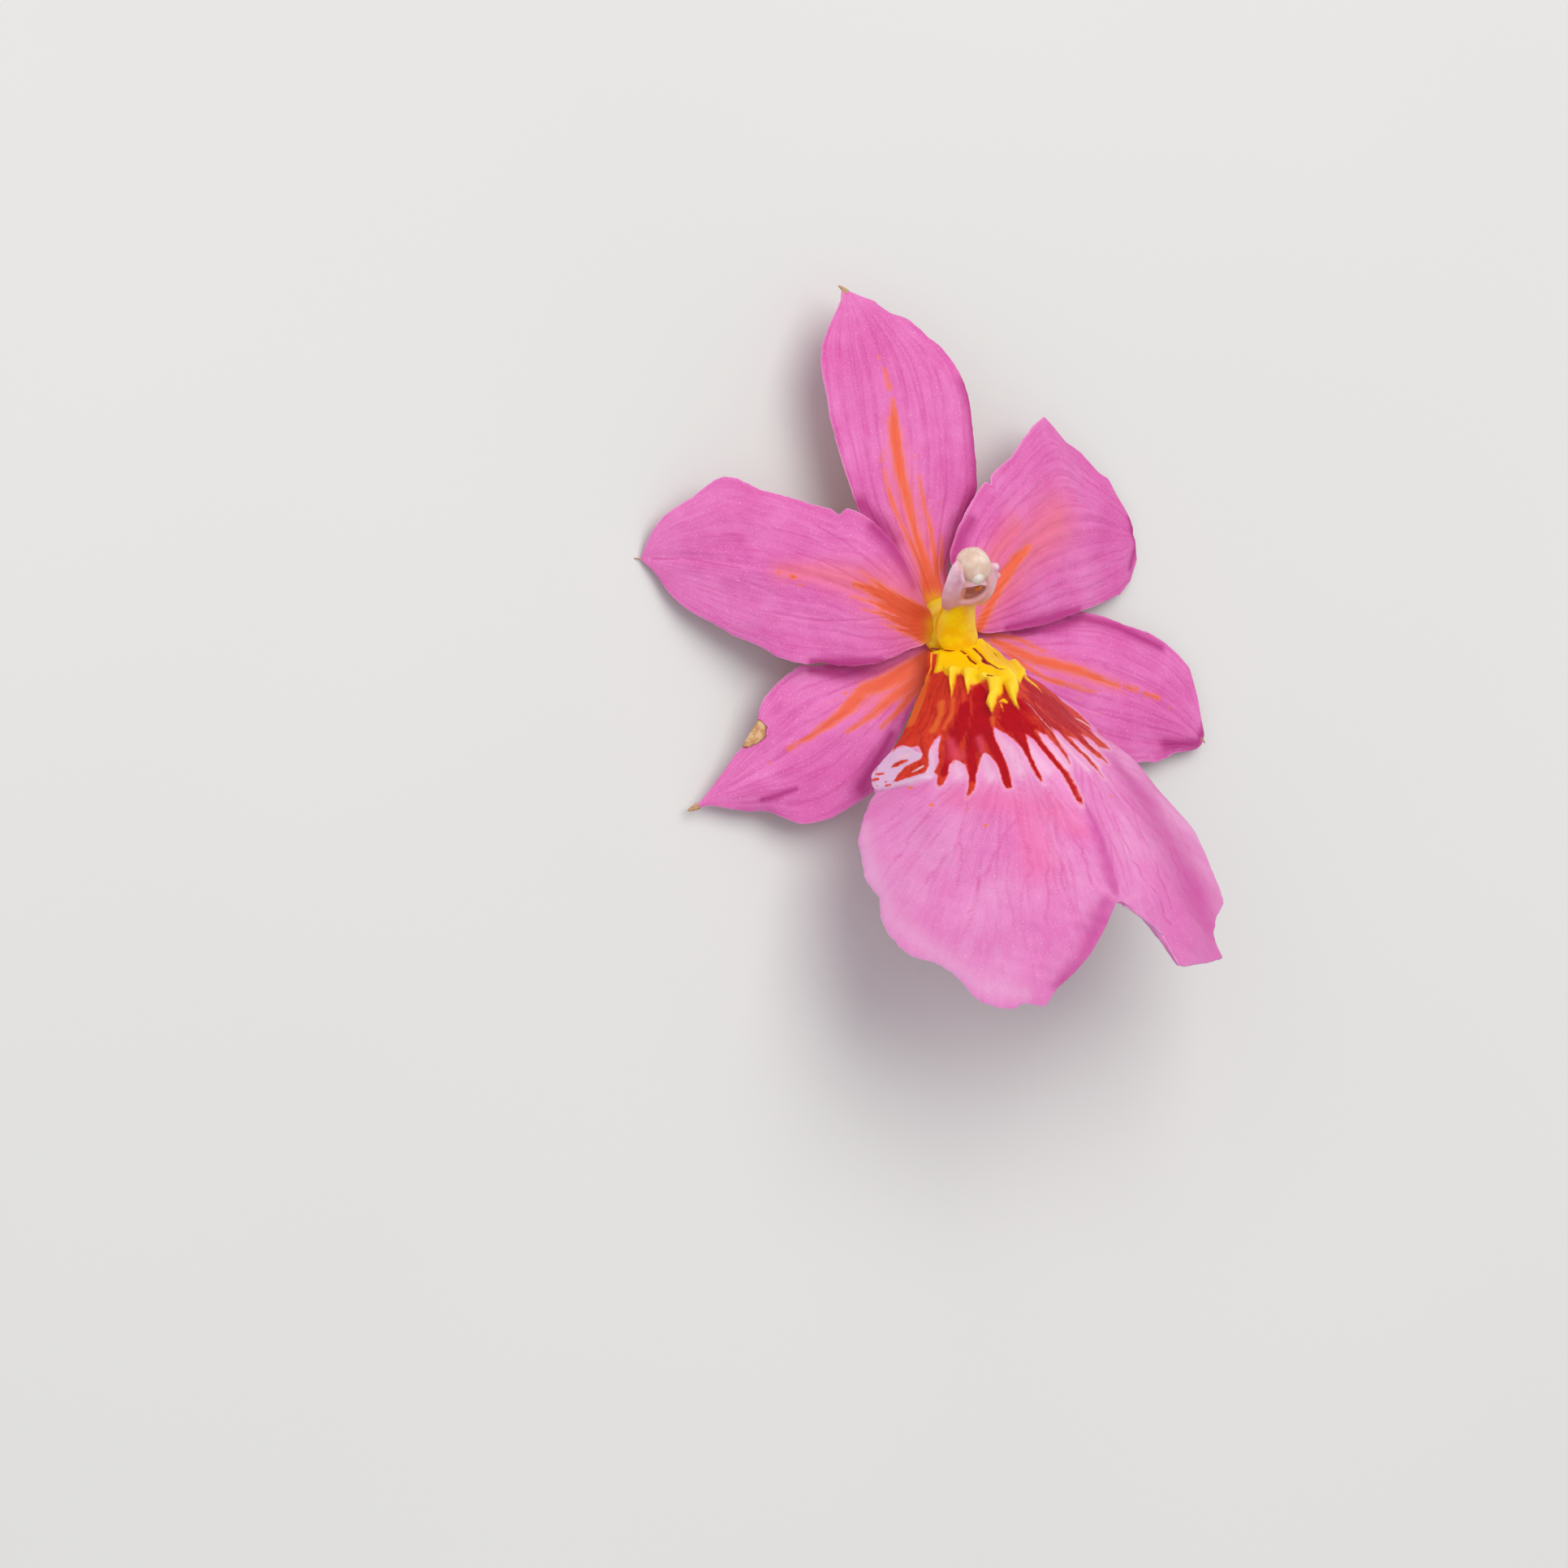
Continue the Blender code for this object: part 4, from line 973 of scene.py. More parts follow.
# The blades end in short dry points, and the left petal in a fine whisker.
TIP_TAN = srgb(206, 168, 122)
TIP_SIDES = 16
TIP_ROUNDS = 24
TIP_OVERLAP = 0.6
TIP_TAPER = 0.45
TIP_FLATNESS = 0.7
TIP_POINT = 0.004
tip_finish = new_material("dry_tip")
tip_tan = clouded(tip_finish, 3000.0, 2.0, 0.3, 0.7, srgb(178, 128, 92), TIP_TAN)
tip_finish.tree.links.new(tip_tan, tip_finish.shader.inputs["Base Color"])
tip_finish.shader.inputs["Roughness"].default_value = 0.6
for name, blade, length, width, bend in (
    ("tip_upright", upright_blade, 0.7, 0.36, -0.2), ("tip_side_left", side_left_blade, 0.8, 0.42, 0.2),
    ("tip_side_right", side_right_blade, 0.5, 0.22, 0.1),
    ("tip_petal_left", petal_left_blade, 1.0, 0.13, 0.25),
):
    centre = blade.points.shape[1] // 2
    way = unit(blade.points[-4, centre] - blade.points[-14, centre])
    aside = unit(np.cross(way, (0.0, 0.0, 1.0)))
    above = np.cross(aside, way)
    start = blade.points[-1, centre] - way * TIP_OVERLAP
    runs = np.linspace(0, 1, TIP_ROUNDS)
    turns = np.linspace(0, 2 * math.pi, TIP_SIDES, endpoint=False)
    middles = start + way * (runs * (length + TIP_OVERLAP))[:, None] + aside * (bend * runs**2)[:, None]
    radii = width * np.sqrt(1 - runs**2) * (1 - TIP_TAPER * runs) + TIP_POINT
    rings = middles[:, None, :] + radii[:, None, None] * (
        aside * np.cos(turns)[None, :, None] + TIP_FLATNESS * above * np.sin(turns)[None, :, None])
    faces = ring_faces(TIP_ROUNDS, TIP_SIDES)
    faces += [tuple(range(TIP_SIDES)), tuple(range((TIP_ROUNDS - 1) * TIP_SIDES, TIP_ROUNDS * TIP_SIDES))]
    tip = mesh_piece(name, rings.reshape(-1, 3), faces, tip_finish.material)


# Lip
# The large lowest petal, folded like a low roof, with a small lobe on each side of its base, two broad lobes
# and a deep notch. Its base carries the raised yellow callus and a deep red mask that runs out in stripes.
LIP_ROWS = 300
LIP_COLUMNS = 200
LIP_FOLD = 0.55
LIP_RIPPLE = 0.35
LIP_WAVES = 5.5
LIP_MIDDLE_THICKNESS = 0.62
LIP_SCALLOP = 0.09
LIP_SWELL = 0.1
LIP_VEIN_DEPTH = 0.05
AURICLE_RISE = 0.42
CALLUS_RISE = 0.42
TOOTH_RISE = 0.62
LINE_DEPTH = 0.2
LIP = (
    ((-3.1, -1.9, 0.4), (0.0, -2.5, 0.6), (3.1, -1.9, 0.4)),
    ((-3.8, -3.7, 0.5), (0.0, -3.6, 3.2), (3.8, -3.7, 0.5)),
    ((-6.7, -6.8, 0.7), (0.0, -4.9, 5.8), (6.7, -6.8, 0.7)),
    ((-10.3, -10.0, 0.9), (0.0, -6.6, 8.3), (10.3, -10.0, 0.9)),
    ((-14.2, -12.8, -0.2), (0.0, -8.8, 10.7), (14.0, -13.4, -0.2)),
    ((-14.6, -15.8, 0.4), (0.0, -11.4, 12.9), (14.9, -16.4, 0.2)),
    ((-17.8, -18.9, 1.2), (0.0, -14.2, 14.9), (17.8, -19.2, 0.8)),
    ((-19.8, -23.6, 2.7), (0.0, -17.2, 16.7), (19.2, -23.4, 2.1)),
    ((-20.8, -28.6, 5.2), (0.0, -20.3, 18.1), (20.1, -28.8, 4.6)),
    ((-20.2, -33.2, 9.0), (0.0, -23.3, 19.2), (18.9, -33.6, 8.4)),
    ((-17.4, -37.4, 12.8), (0.0, -26.1, 20.0), (17.6, -37.2, 11.2)),
    ((-14.6, -41.4, 15.0), (0.0, -28.5, 20.4), (14.0, -40.6, 14.2)),
    ((-10.8, -43.2, 16.5), (0.0, -30.4, 20.7), (13.3, -43.1, 15.6)),
    ((-7.2, -41.4, 17.8), (0.0, -31.9, 20.8), (7.4, -42.5, 17.5)),
    ((-3.5, -38.0, 20.0), (0.0, -33.1, 20.8), (5.0, -38.4, 19.4)),
    ((-0.4, -34.4, 20.7), (0.0, -33.9, 20.7), (0.8, -34.4, 20.7)),
)
LIP_LEFT_EDGE = (
    (1143, 801), (1140, 840), (1129, 863), (1120, 887), (1110, 909), (1102, 922), (1092, 932), (1083, 943),
    (1075, 952), (1074, 962), (1077, 970), (1080, 975), (1071, 989), (1062, 1013), (1057, 1036), (1060, 1051),
    (1065, 1080), (1073, 1095), (1084, 1107), (1085, 1133), (1094, 1151), (1109, 1168), (1123, 1179),
    (1150, 1186), (1167, 1195), (1182, 1206), (1194, 1224), (1211, 1236), (1232, 1243), (1249, 1244),
    (1261, 1236), (1276, 1239), (1288, 1241), (1293, 1233), (1302, 1218), (1323, 1200), (1343, 1177),
    (1358, 1151), (1366, 1127), (1368, 1116),
)
LIP_RIGHT_EDGE = (
    (1219, 800), (1231, 807), (1245, 821), (1262, 835), (1281, 847), (1300, 860), (1320, 876), (1339, 891),
    (1358, 905), (1368, 921), (1398, 930), (1413, 941), (1431, 969), (1455, 998), (1472, 1024), (1487, 1057),
    (1500, 1089), (1508, 1104), (1508, 1112), (1499, 1130), (1495, 1151), (1499, 1165), (1507, 1181),
    (1496, 1184), (1481, 1188), (1461, 1191), (1443, 1189), (1433, 1180), (1427, 1165), (1423, 1149),
    (1419, 1148), (1411, 1142), (1393, 1124), (1381, 1115), (1368, 1116),
)
YELLOW_CALLUS = (
    (1143, 799), (1148, 806), (1154, 808), (1154, 820), (1152, 832), (1158, 832), (1164, 830), (1167, 835),
    (1173, 838), (1174, 850), (1173, 864), (1177, 855), (1180, 847), (1182, 837), (1186, 834), (1190, 838),
    (1192, 848), (1194, 859), (1199, 849), (1206, 845), (1217, 842), (1219, 847), (1220, 858), (1216, 868),
    (1220, 875), (1224, 883), (1228, 872), (1231, 863), (1237, 856), (1237, 845), (1240, 851), (1245, 862),
    (1251, 872), (1257, 876), (1254, 866), (1253, 856), (1250, 847), (1250, 841), (1255, 847), (1257, 840),
    (1268, 845), (1275, 851), (1283, 858), (1274, 847), (1262, 837), (1252, 828), (1245, 820), (1238, 812),
    (1231, 804), (1219, 796), (1206, 776), (1150, 776), (1140, 790),
)
CALLUS_HOOK = (
    ((1233, 867, 0.13), (1237, 864, 0.2), (1241, 867, 0.16)), ((1234, 869, 0.12), (1237, 878, 0.06)),
)
CALLUS_RIM = (((1147, 806, 0.14), (1148, 825, 0.1), (1141, 842, 0.07)),)
CALLUS_TEETH = (
    ((1213, 838, 0.5), (1227, 846, 0.9), (1227, 858, 0.9), (1223, 872, 0.7), (1224, 880, 0.4)),
    ((1238, 836, 0.6), (1247, 846, 0.7), (1249, 860, 0.5), (1254, 872, 0.3)),
    ((1178, 832, 0.6), (1176, 850, 0.5)),
    ((1196, 835, 0.8), (1195, 850, 0.5)),
    ((1246, 826, 0.6), (1257, 840, 0.5)),
)
CALLUS_LINES = (
    ((1148, 799, 0.12), (1161, 800, 0.1), (1173, 802, 0.1), (1181, 804, 0.13), (1191, 810, 0.12)),
    ((1193, 812, 0.1), (1197, 817, 0.13), (1204, 822, 0.12)),
    ((1199, 804, 0.16), (1206, 811, 0.17), (1213, 819, 0.16), (1221, 824, 0.16), (1228, 829, 0.18),
     (1238, 831, 0.2)),
    ((1212, 796, 0.1), (1216, 803, 0.14), (1221, 809, 0.15), (1226, 815, 0.16), (1230, 819, 0.12)),
    ((1207, 828, 0.06),), ((1211, 836, 0.13),), ((1220, 839, 0.13), (1225, 840, 0.15)),
)
RED_MASK = (
    (1140, 798), (1131, 838), (1120, 863), (1112, 890), (1103, 914), (1101, 928), (1106, 923), (1114, 920),
    (1124, 922), (1133, 920), (1138, 930), (1136, 936), (1128, 939), (1116, 945), (1108, 954), (1103, 966),
    (1108, 967), (1118, 963), (1128, 960), (1143, 955), (1147, 944), (1145, 931), (1148, 920), (1154, 911),
    (1160, 906), (1157, 925), (1158, 942), (1152, 953), (1157, 957), (1155, 966), (1157, 971), (1164, 968),
    (1170, 956), (1171, 944), (1178, 937), (1190, 943), (1194, 956), (1194, 970), (1191, 985), (1201, 975),
    (1203, 966), (1204, 954), (1207, 941), (1213, 929), (1219, 931), (1227, 940), (1232, 951), (1236, 966),
    (1240, 973), (1248, 971), (1246, 961), (1243, 947), (1238, 935), (1232, 921), (1227, 909), (1226, 898),
    (1232, 902), (1242, 908), (1256, 919), (1265, 933), (1272, 949), (1279, 961), (1288, 969), (1284, 959),
    (1277, 945), (1271, 931), (1267, 917), (1265, 907), (1275, 914), (1286, 928), (1296, 940), (1308, 954),
    (1317, 970), (1326, 987), (1334, 996), (1332, 986), (1324, 970), (1315, 954), (1305, 940), (1296, 928),
    (1286, 916), (1278, 902), (1289, 908), (1301, 921), (1310, 933), (1318, 944), (1314, 932), (1307, 921),
    (1299, 908), (1294, 898), (1303, 904), (1317, 919), (1331, 933), (1346, 949), (1359, 962), (1350, 948),
    (1338, 934), (1326, 922), (1315, 909), (1325, 914), (1338, 926), (1350, 935), (1364, 943), (1352, 929),
    (1340, 919), (1330, 908), (1341, 913), (1352, 922), (1367, 925), (1361, 917), (1350, 909), (1342, 901),
    (1339, 893), (1324, 877), (1304, 860), (1285, 846), (1264, 834), (1230, 806), (1200, 790),
)
RED_SPOTS = (
    ((1350, 902, 0.2), (1357, 905, 0.2), (1363, 913, 0.16), (1368, 920, 0.14)),
    ((1100, 945, 0.14), (1106, 942, 0.26), (1112, 939, 0.26), (1119, 937, 0.14)),
    ((1080, 954, 0.1), (1090, 953, 0.12)), ((1076, 961, 0.16), (1083, 960, 0.18)), ((1083, 968, 0.12),),
    ((1094, 964, 0.18),), ((1095, 971, 0.18), (1101, 970, 0.12)), ((1082, 947, 0.08), (1078, 951, 0.08)),
    ((1396, 928, 0.15),), ((1176, 940, 0.14), (1176, 946, 0.05)), ((1187, 944, 0.08),),
)
DEEP_RED = (
    ((1190, 872, 0.7), (1186, 895, 1.1), (1172, 925, 0.6), (1165, 955, 0.4)),
    ((1207, 852, 0.7), (1213, 880, 1.5), (1205, 905, 1.4), (1198, 930, 0.7), (1199, 960, 0.5)),
    ((1216, 885, 1.2), (1222, 905, 0.9), (1233, 938, 0.6), (1242, 965, 0.5)),
    ((1240, 872, 0.7), (1250, 890, 1.9), (1266, 903, 1.3), (1266, 932, 0.5), (1285, 963, 0.3)),
    ((1260, 866, 0.7), (1282, 885, 1.4), (1300, 900, 1.2), (1313, 915, 0.6), (1345, 948, 0.3)),
    ((1270, 900, 0.9), (1292, 932, 0.5), (1315, 962, 0.4), (1331, 990, 0.3)),
    ((1295, 885, 0.8), (1320, 904, 0.7), (1345, 926, 0.4)),
    ((1258, 842, 0.8), (1285, 862, 1.7), (1314, 884, 1.7), (1340, 904, 0.8)),
    ((1272, 862, 1.0), (1300, 884, 1.4), (1322, 900, 0.9)),
)
ORANGE_BANDS = (
    ((1142, 838, 0.7), (1132, 864, 1.0), (1122, 890, 0.9)),
    ((1161, 868, 0.6), (1160, 880, 0.5), (1150, 900, 0.5)),
    ((1176, 864, 0.3), (1174, 880, 0.3), (1163, 898, 0.25)),
    ((1224, 886, 0.3), (1225, 896, 0.25)),
    ((1277, 902, 0.2), (1288, 916, 0.2)),
)
PALE_GAPS = (
    ((1157, 912, 0.2), (1151, 926, 0.4), (1151, 943, 0.5), (1148, 958, 0.7)),
    ((1178, 944, 0.6), (1183, 955, 0.9)),
    ((1213, 934, 0.4), (1216, 944, 0.8), (1222, 958, 0.8)),
    ((1229, 904, 0.3), (1240, 920, 0.8), (1252, 936, 1.0), (1258, 952, 0.8)),
    ((1267, 914, 0.3), (1276, 932, 0.6), (1290, 952, 0.7)),
    ((1281, 907, 0.2), (1296, 924, 0.4), (1312, 946, 0.6)),
    ((1301, 908, 0.2), (1318, 928, 0.4), (1336, 950, 0.5)),
    ((1318, 913, 0.2), (1334, 928, 0.35), (1352, 945, 0.4)),
    ((1334, 913, 0.2), (1350, 926, 0.3)),
    ((1126, 966, 0.5), (1150, 958, 0.5)),
)
# Pale spots in the red mask. The fourth stroke is a thin pale line along the crease of the fold.
PALE_HOLES = (
    ((1126, 953, 0.1), (1133, 950, 0.2), (1140, 946, 0.16)),
    ((1324, 886, 0.1), (1332, 891, 0.22), (1340, 897, 0.2)),
    ((1346, 904, 0.14), (1351, 909, 0.26), (1357, 914, 0.2)),
    ((1262, 866, 0.03), (1280, 887, 0.06), (1294, 902, 0.08), (1304, 913, 0.1), (1318, 929, 0.1)),
    ((1108, 934, 0.1), (1122, 930, 0.12)),
)
ROSE_ZONE = (((1172, 915, 0.5), (1176, 930, 0.8), (1184, 934, 0.6)), ((1208, 912, 0.4), (1212, 926, 0.4)))
AURICLE = (
    (1103, 925), (1120, 921), (1135, 929), (1148, 921), (1153, 943), (1151, 960), (1135, 964), (1124, 968),
    (1108, 971), (1084, 975), (1070, 962), (1083, 940),
)
AURICLE_STEP = ((1070, 977), (1084, 975), (1097, 973), (1108, 971), (1124, 968), (1134, 965), (1146, 961))
LIP_DOTS = (
    ((1121, 972, 0.2), (1125, 972, 0.16)), ((1149, 993, 0.26),), ((1191, 998, 0.16),), ((1215, 1018, 0.24),),
    ((1366, 983, 0.22),), ((1385, 959, 0.2),), ((1112, 975, 0.1),),
)
LIP_LINES = (
    ((1192, 989, 0.06), (1184, 1037, 0.1), (1172, 1050, 0.08), (1158, 1065, 0.06), (1142, 1090, 0.05)),
    ((1184, 1037, 0.07), (1186, 1065, 0.06), (1180, 1090, 0.05)),
    ((1244, 976, 0.1), (1252, 992, 0.12), (1255, 1009, 0.12), (1266, 1048, 0.12), (1267, 1075, 0.1),
     (1264, 1120, 0.06)),
    ((1255, 1009, 0.08), (1240, 1030, 0.08), (1226, 1055, 0.06), (1214, 1080, 0.05)),
    ((1288, 970, 0.1), (1292, 993, 0.14), (1291, 1030, 0.1), (1290, 1100, 0.07), (1288, 1140, 0.05)),
    ((1292, 980, 0.08), (1301, 1015, 0.1), (1306, 1050, 0.1), (1309, 1090, 0.08), (1316, 1115, 0.05)),
    ((1301, 985, 0.07), (1322, 1030, 0.08), (1338, 1065, 0.07), (1345, 1090, 0.06)),
    ((1208, 1083, 0.14), (1203, 1100, 0.12), (1194, 1125, 0.06)),
    ((1266, 1048, 0.08), (1272, 1080, 0.06)),
    ((1160, 978, 0.05), (1140, 1010, 0.08), (1120, 1035, 0.06), (1105, 1060, 0.05)),
    ((1148, 965, 0.05), (1120, 985, 0.06), (1098, 1010, 0.05)),
    ((1378, 960, 0.06), (1400, 985, 0.08), (1425, 1020, 0.08), (1445, 1060, 0.07), (1458, 1100, 0.05)),
    ((1360, 950, 0.05), (1385, 985, 0.08), (1405, 1030, 0.09), (1425, 1075, 0.09), (1440, 1120, 0.06)),
    ((1345, 965, 0.05), (1372, 1010, 0.09), (1395, 1060, 0.1), (1420, 1100, 0.08), (1440, 1140, 0.05)),
    ((1390, 945, 0.05), (1420, 975, 0.06), (1450, 1020, 0.06), (1470, 1065, 0.05)),
)
# Painted shade on the lip: along the crease of the fold, over the right lobe, which turns away from the
# light, and low on the left lobe beside the notch.
LIP_PAINTED_SHADE = (
    ((1336, 992, 0.4), (1345, 1012, 0.7), (1357, 1045, 0.8), (1367, 1080, 0.9), (1372, 1100, 0.5)),
    ((1380, 950, 2.4), (1412, 990, 4.0), (1442, 1045, 5.0), (1470, 1100, 5.4), (1488, 1150, 4.0)),
    ((1362, 1112, 1.0), (1351, 1150, 1.6), (1330, 1188, 1.2), (1300, 1215, 0.6)),
)
BLADE_BLUSH = (
    ((1175, 985, 1.2), (1215, 985, 1.8), (1262, 990, 2.2), (1300, 1000, 2.0), (1330, 1025, 1.2)),
    ((1262, 1000, 1.5), (1280, 1060, 2.4)),
)
BLADE_PALE = (
    ((1066, 1020, 1.0), (1072, 1070, 1.2), (1096, 1130, 1.3), (1150, 1172, 1.2), (1210, 1215, 1.2),
     (1262, 1225, 1.0)),
)

# The pixels from which the veins of the lip's two halves fan out, under the red mask.
LEFT_FAN = (1250, 905)
RIGHT_FAN = (1320, 900)
MM_PER_PIXEL = 0.09
FAN_SEED = 73
FAN_VEINS = 52
FAN_WIDTH = 0.1


def fan_veins(outward, around, seed, count, width):
    """Veins that fan out to the lip's margin, as 0 to 1, from the way outward in mm and the angle around."""
    draw = np.random.default_rng(seed)
    field = np.zeros(outward.shape)
    for middle in np.linspace(-1.5, 1.5, count):
        begin, end = draw.choice((0.5, 4.0, 8.0)), draw.uniform(12, 30)
        bend = 0.03 * np.sin(outward / draw.uniform(3.5, 5.5) + draw.uniform(0, 7))
        bend += 0.012 * np.sin(outward / draw.uniform(1.0, 1.8) + draw.uniform(0, 7))
        gap = np.abs(around - middle - draw.uniform(-0.03, 0.03) - bend) * outward
        fade = np.clip((outward - begin) / 2.0, 0, 1) * np.clip((end - outward) / 7.0, 0, 1)
        field = np.maximum(field, draw.uniform(0.45, 1.0) * fade * np.exp(-((gap / width) ** 2)))
    return field


lip_blade = shape_blade(
    LIP, LIP_ROWS, LIP_COLUMNS, LIP_FOLD, LIP_RIPPLE, LIP_WAVES, (LIP_LEFT_EDGE, LIP_RIGHT_EDGE), 71,
    LIP_SCALLOP,
)
lip_pixels = lip_blade.pixels
callus = inside_outline(lip_pixels, YELLOW_CALLUS)
callus = np.maximum(callus, inside_strokes(lip_blade, CALLUS_HOOK + CALLUS_RIM))
callus_lines = inside_strokes(lip_blade, CALLUS_LINES)
teeth = inside_strokes(lip_blade, CALLUS_TEETH)
red = np.maximum(inside_outline(lip_pixels, RED_MASK), inside_strokes(lip_blade, RED_SPOTS))
fan_side = (lip_blade.across > 0)[None, :, None]
fan_way = lip_pixels - np.where(fan_side, RIGHT_FAN, LEFT_FAN)
fan_out = np.linalg.norm(fan_way, axis=2) * MM_PER_PIXEL
fan_round = np.arctan2(fan_way[..., 0], fan_way[..., 1])
lip_vein = fan_veins(fan_out, fan_round, FAN_SEED, FAN_VEINS, FAN_WIDTH)
lip_vein = np.maximum(lip_vein, 0.9 * np.clip(inside_strokes(lip_blade, LIP_LINES, 2.2) / 0.14 + 1, 0, 1))
lip_vein *= step_height(-red, 0.1, 0.6)
lobe = inside_outline(lip_pixels, AURICLE)
lip_fields = {
    "vein": lip_vein,
    "fan_out": fan_out,
    "fan_round": fan_round,
    "callus": callus,
    "line": callus_lines,
    "red": red,
    "deep": near_strokes(lip_blade, DEEP_RED),
    "orange": inside_strokes(lip_blade, ORANGE_BANDS),
    "gap": near_strokes(lip_blade, PALE_GAPS),
    "hole": inside_strokes(lip_blade, PALE_HOLES),
    "rose": near_strokes(lip_blade, ROSE_ZONE),
    "halo": step_height(red, -0.4, 0.0) * step_height(lip_pixels[..., 1], 895, 925),
    "lobe": lobe,
    "dots": inside_strokes(lip_blade, LIP_DOTS),
    "shade": near_strokes(lip_blade, LIP_PAINTED_SHADE),
    "blush": near_strokes(lip_blade, BLADE_BLUSH),
    "pale": near_strokes(lip_blade, BLADE_PALE),
    "tooth": teeth,
    "band": midrib_band(lip_blade, 4.0, 0.6),
}
lip_edge_fade = np.clip(1 - np.abs(lip_blade.across) ** 8, 0, 1)[None, :]
lip_relief = LIP_SWELL * swells(lip_blade.points, 79, 5.0, 10.0) * lip_edge_fade - LIP_VEIN_DEPTH * lip_vein
lip_relief += FINE_SWELL * swells(lip_blade.points, 83, 1.3, 2.6) * lip_edge_fade
step_side = inside_outline(lip_pixels, AURICLE_STEP + ((1150, 900), (1060, 900)))
step_near = near_strokes(lip_blade, (tuple((x, y, 1.6) for x, y in AURICLE_STEP[:-1]),))
step_below = step_height(lip_pixels[..., 1], 925, 950)
lip_relief += AURICLE_RISE * step_height(step_side, -0.06, 0.06) * step_near * step_below
lip_swell = CALLUS_RISE * step_height(callus, -0.1, 0.45)
lip_swell += TOOTH_RISE * step_height(teeth, -0.35, 0.55) * step_height(callus, -0.15, 0.2)
lip_swell -= LINE_DEPTH * step_height(callus_lines, -0.25, 0.05)
lip_swell = np.clip(lip_swell, -0.1, None)
lip_half = blade_half_thickness(lip_blade, LIP_MIDDLE_THICKNESS, MARGIN_THICKNESS)
lip = close_shell("lip_blade", lip_blade, lip_half, lip_relief, lip_fields, lip_swell)

LIP_LIGHT = srgb(238, 158, 210)
LIP_DEEP = srgb(228, 120, 188)
LIP_VEIN = srgb(208, 58, 136)
lip_finish = new_material("lip_pink")
tree = lip_finish.tree
fan_run = add(tree, "ShaderNodeCombineXYZ", {
    "X": maths(tree, "MULTIPLY", field_of(lip_finish, "fan_out"), 0.31),
    "Y": maths(tree, "MULTIPLY", field_of(lip_finish, "fan_round"), 34.0),
}).outputs["Vector"]
flesh = use_group(lip_finish, tissue, {
    "Spot": lip_finish.spot, "Along": fan_run, "Light": LIP_LIGHT, "Deep": LIP_DEEP,
    "Vein Colour": LIP_VEIN, "Vein": field_of(lip_finish, "vein"), "Vein Strength": 0.42,
    "Inset": field_of(lip_finish, "inset"), "Rim Colour": srgb(246, 200, 226),
})
front = flesh.outputs["Colour"]
front = tint(lip_finish, "pale", 0.5, front, srgb(240, 178, 216))
front = tint(lip_finish, "blush", 0.45, front, srgb(238, 104, 158))
# Painted shade in deep magenta, from the lip's shade field.
front = tint(lip_finish, "shade", 0.62, front, srgb(196, 56, 146))
front = tint(lip_finish, "gap", 0.5, front, srgb(247, 208, 226))
front = tint(lip_finish, "halo", 0.35, front, srgb(246, 196, 212))
front = paint(
    lip_finish, front, srgb(232, 196, 222), srgb(226, 186, 218), field_of(lip_finish, "lobe"), 0.15, 1200.0,
    0.12,
)
flame = ramp(tree, noise(tree, lengthwise(lip_finish, 22.0, 26.0), 1.0, 3.0, 0.6), 0.38, 0.68)
deep_share = maths(tree, "ADD", field_of(lip_finish, "deep"), maths(tree, "MULTIPLY", flame, 0.35))
red_core = blend(tree, ramp(tree, deep_share, 0.1, 0.8), srgb(218, 62, 36), srgb(186, 2, 22))
red_core = blend(tree, maths(tree, "MULTIPLY", flame, 0.45), red_core, srgb(156, 0, 18))
red_core = tint(lip_finish, "rose", 0.7, red_core, srgb(228, 76, 100))
orange = field_of(lip_finish, "orange")
red_core = paint(
    lip_finish, red_core, srgb(228, 92, 44), srgb(236, 116, 48), orange, 0.5, 1300.0, 0.2, 0.4, 0.7,
)
front = paint(
    lip_finish, front, srgb(226, 78, 62), red_core, field_of(lip_finish, "red"), 0.34, 1900.0, 0.1, 0.18,
)
hole = field_of(lip_finish, "hole")
front = paint(lip_finish, front, srgb(246, 186, 190), srgb(246, 206, 224), hole, 0.2, 1500.0, 0.1, 0.2, 0.85)
front = paint(
    lip_finish, front, srgb(238, 130, 90), srgb(236, 104, 60), field_of(lip_finish, "dots"), 0.15, 2200.0,
    0.06,
)
yellow = blend(
    tree, ramp(tree, field_of(lip_finish, "tooth"), -0.1, 0.5), srgb(253, 204, 6), srgb(254, 214, 50),
)
front = paint(
    lip_finish, front, srgb(240, 142, 30), yellow, field_of(lip_finish, "callus"), 0.16, 1800.0, 0.07, 0.14,
)
front = paint(
    lip_finish, front, srgb(176, 50, 16), srgb(132, 12, 16), field_of(lip_finish, "line"), 0.08, 2200.0,
    0.04, 0.12,
)
behind = tint(lip_finish, "band", 0.8, srgb(236, 164, 208), srgb(248, 224, 214))
behind = tint(lip_finish, "vein", 0.5, behind, srgb(212, 92, 160))
behind = blend(
    tree, maths(tree, "MULTIPLY", ramp(tree, field_of(lip_finish, "red"), -0.3, 0.4), 0.45), behind,
    srgb(226, 96, 92),
)
both = blend(tree, ramp(tree, field_of(lip_finish, "back"), 0.35, 0.65), front, behind)
smooth_callus = ramp(tree, field_of(lip_finish, "callus"), -0.1, 0.2)
height = maths(
    tree, "MULTIPLY", flesh.outputs["Height"],
    maths(tree, "SUBTRACT", 1.0, maths(tree, "MULTIPLY", smooth_callus, 0.75)),
)
surface(lip_finish, both, height, *TISSUE_RELIEF)
waxy = add(
    tree, "ShaderNodeMapRange", {"Value": smooth_callus, "To Min": 0.5, "To Max": 0.34},
).outputs["Result"]
tree.links.new(waxy, lip_finish.shader.inputs["Roughness"])
living_sheet(lip_finish.shader)
lip.data.materials.append(lip_finish.material)
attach(lip, "root")
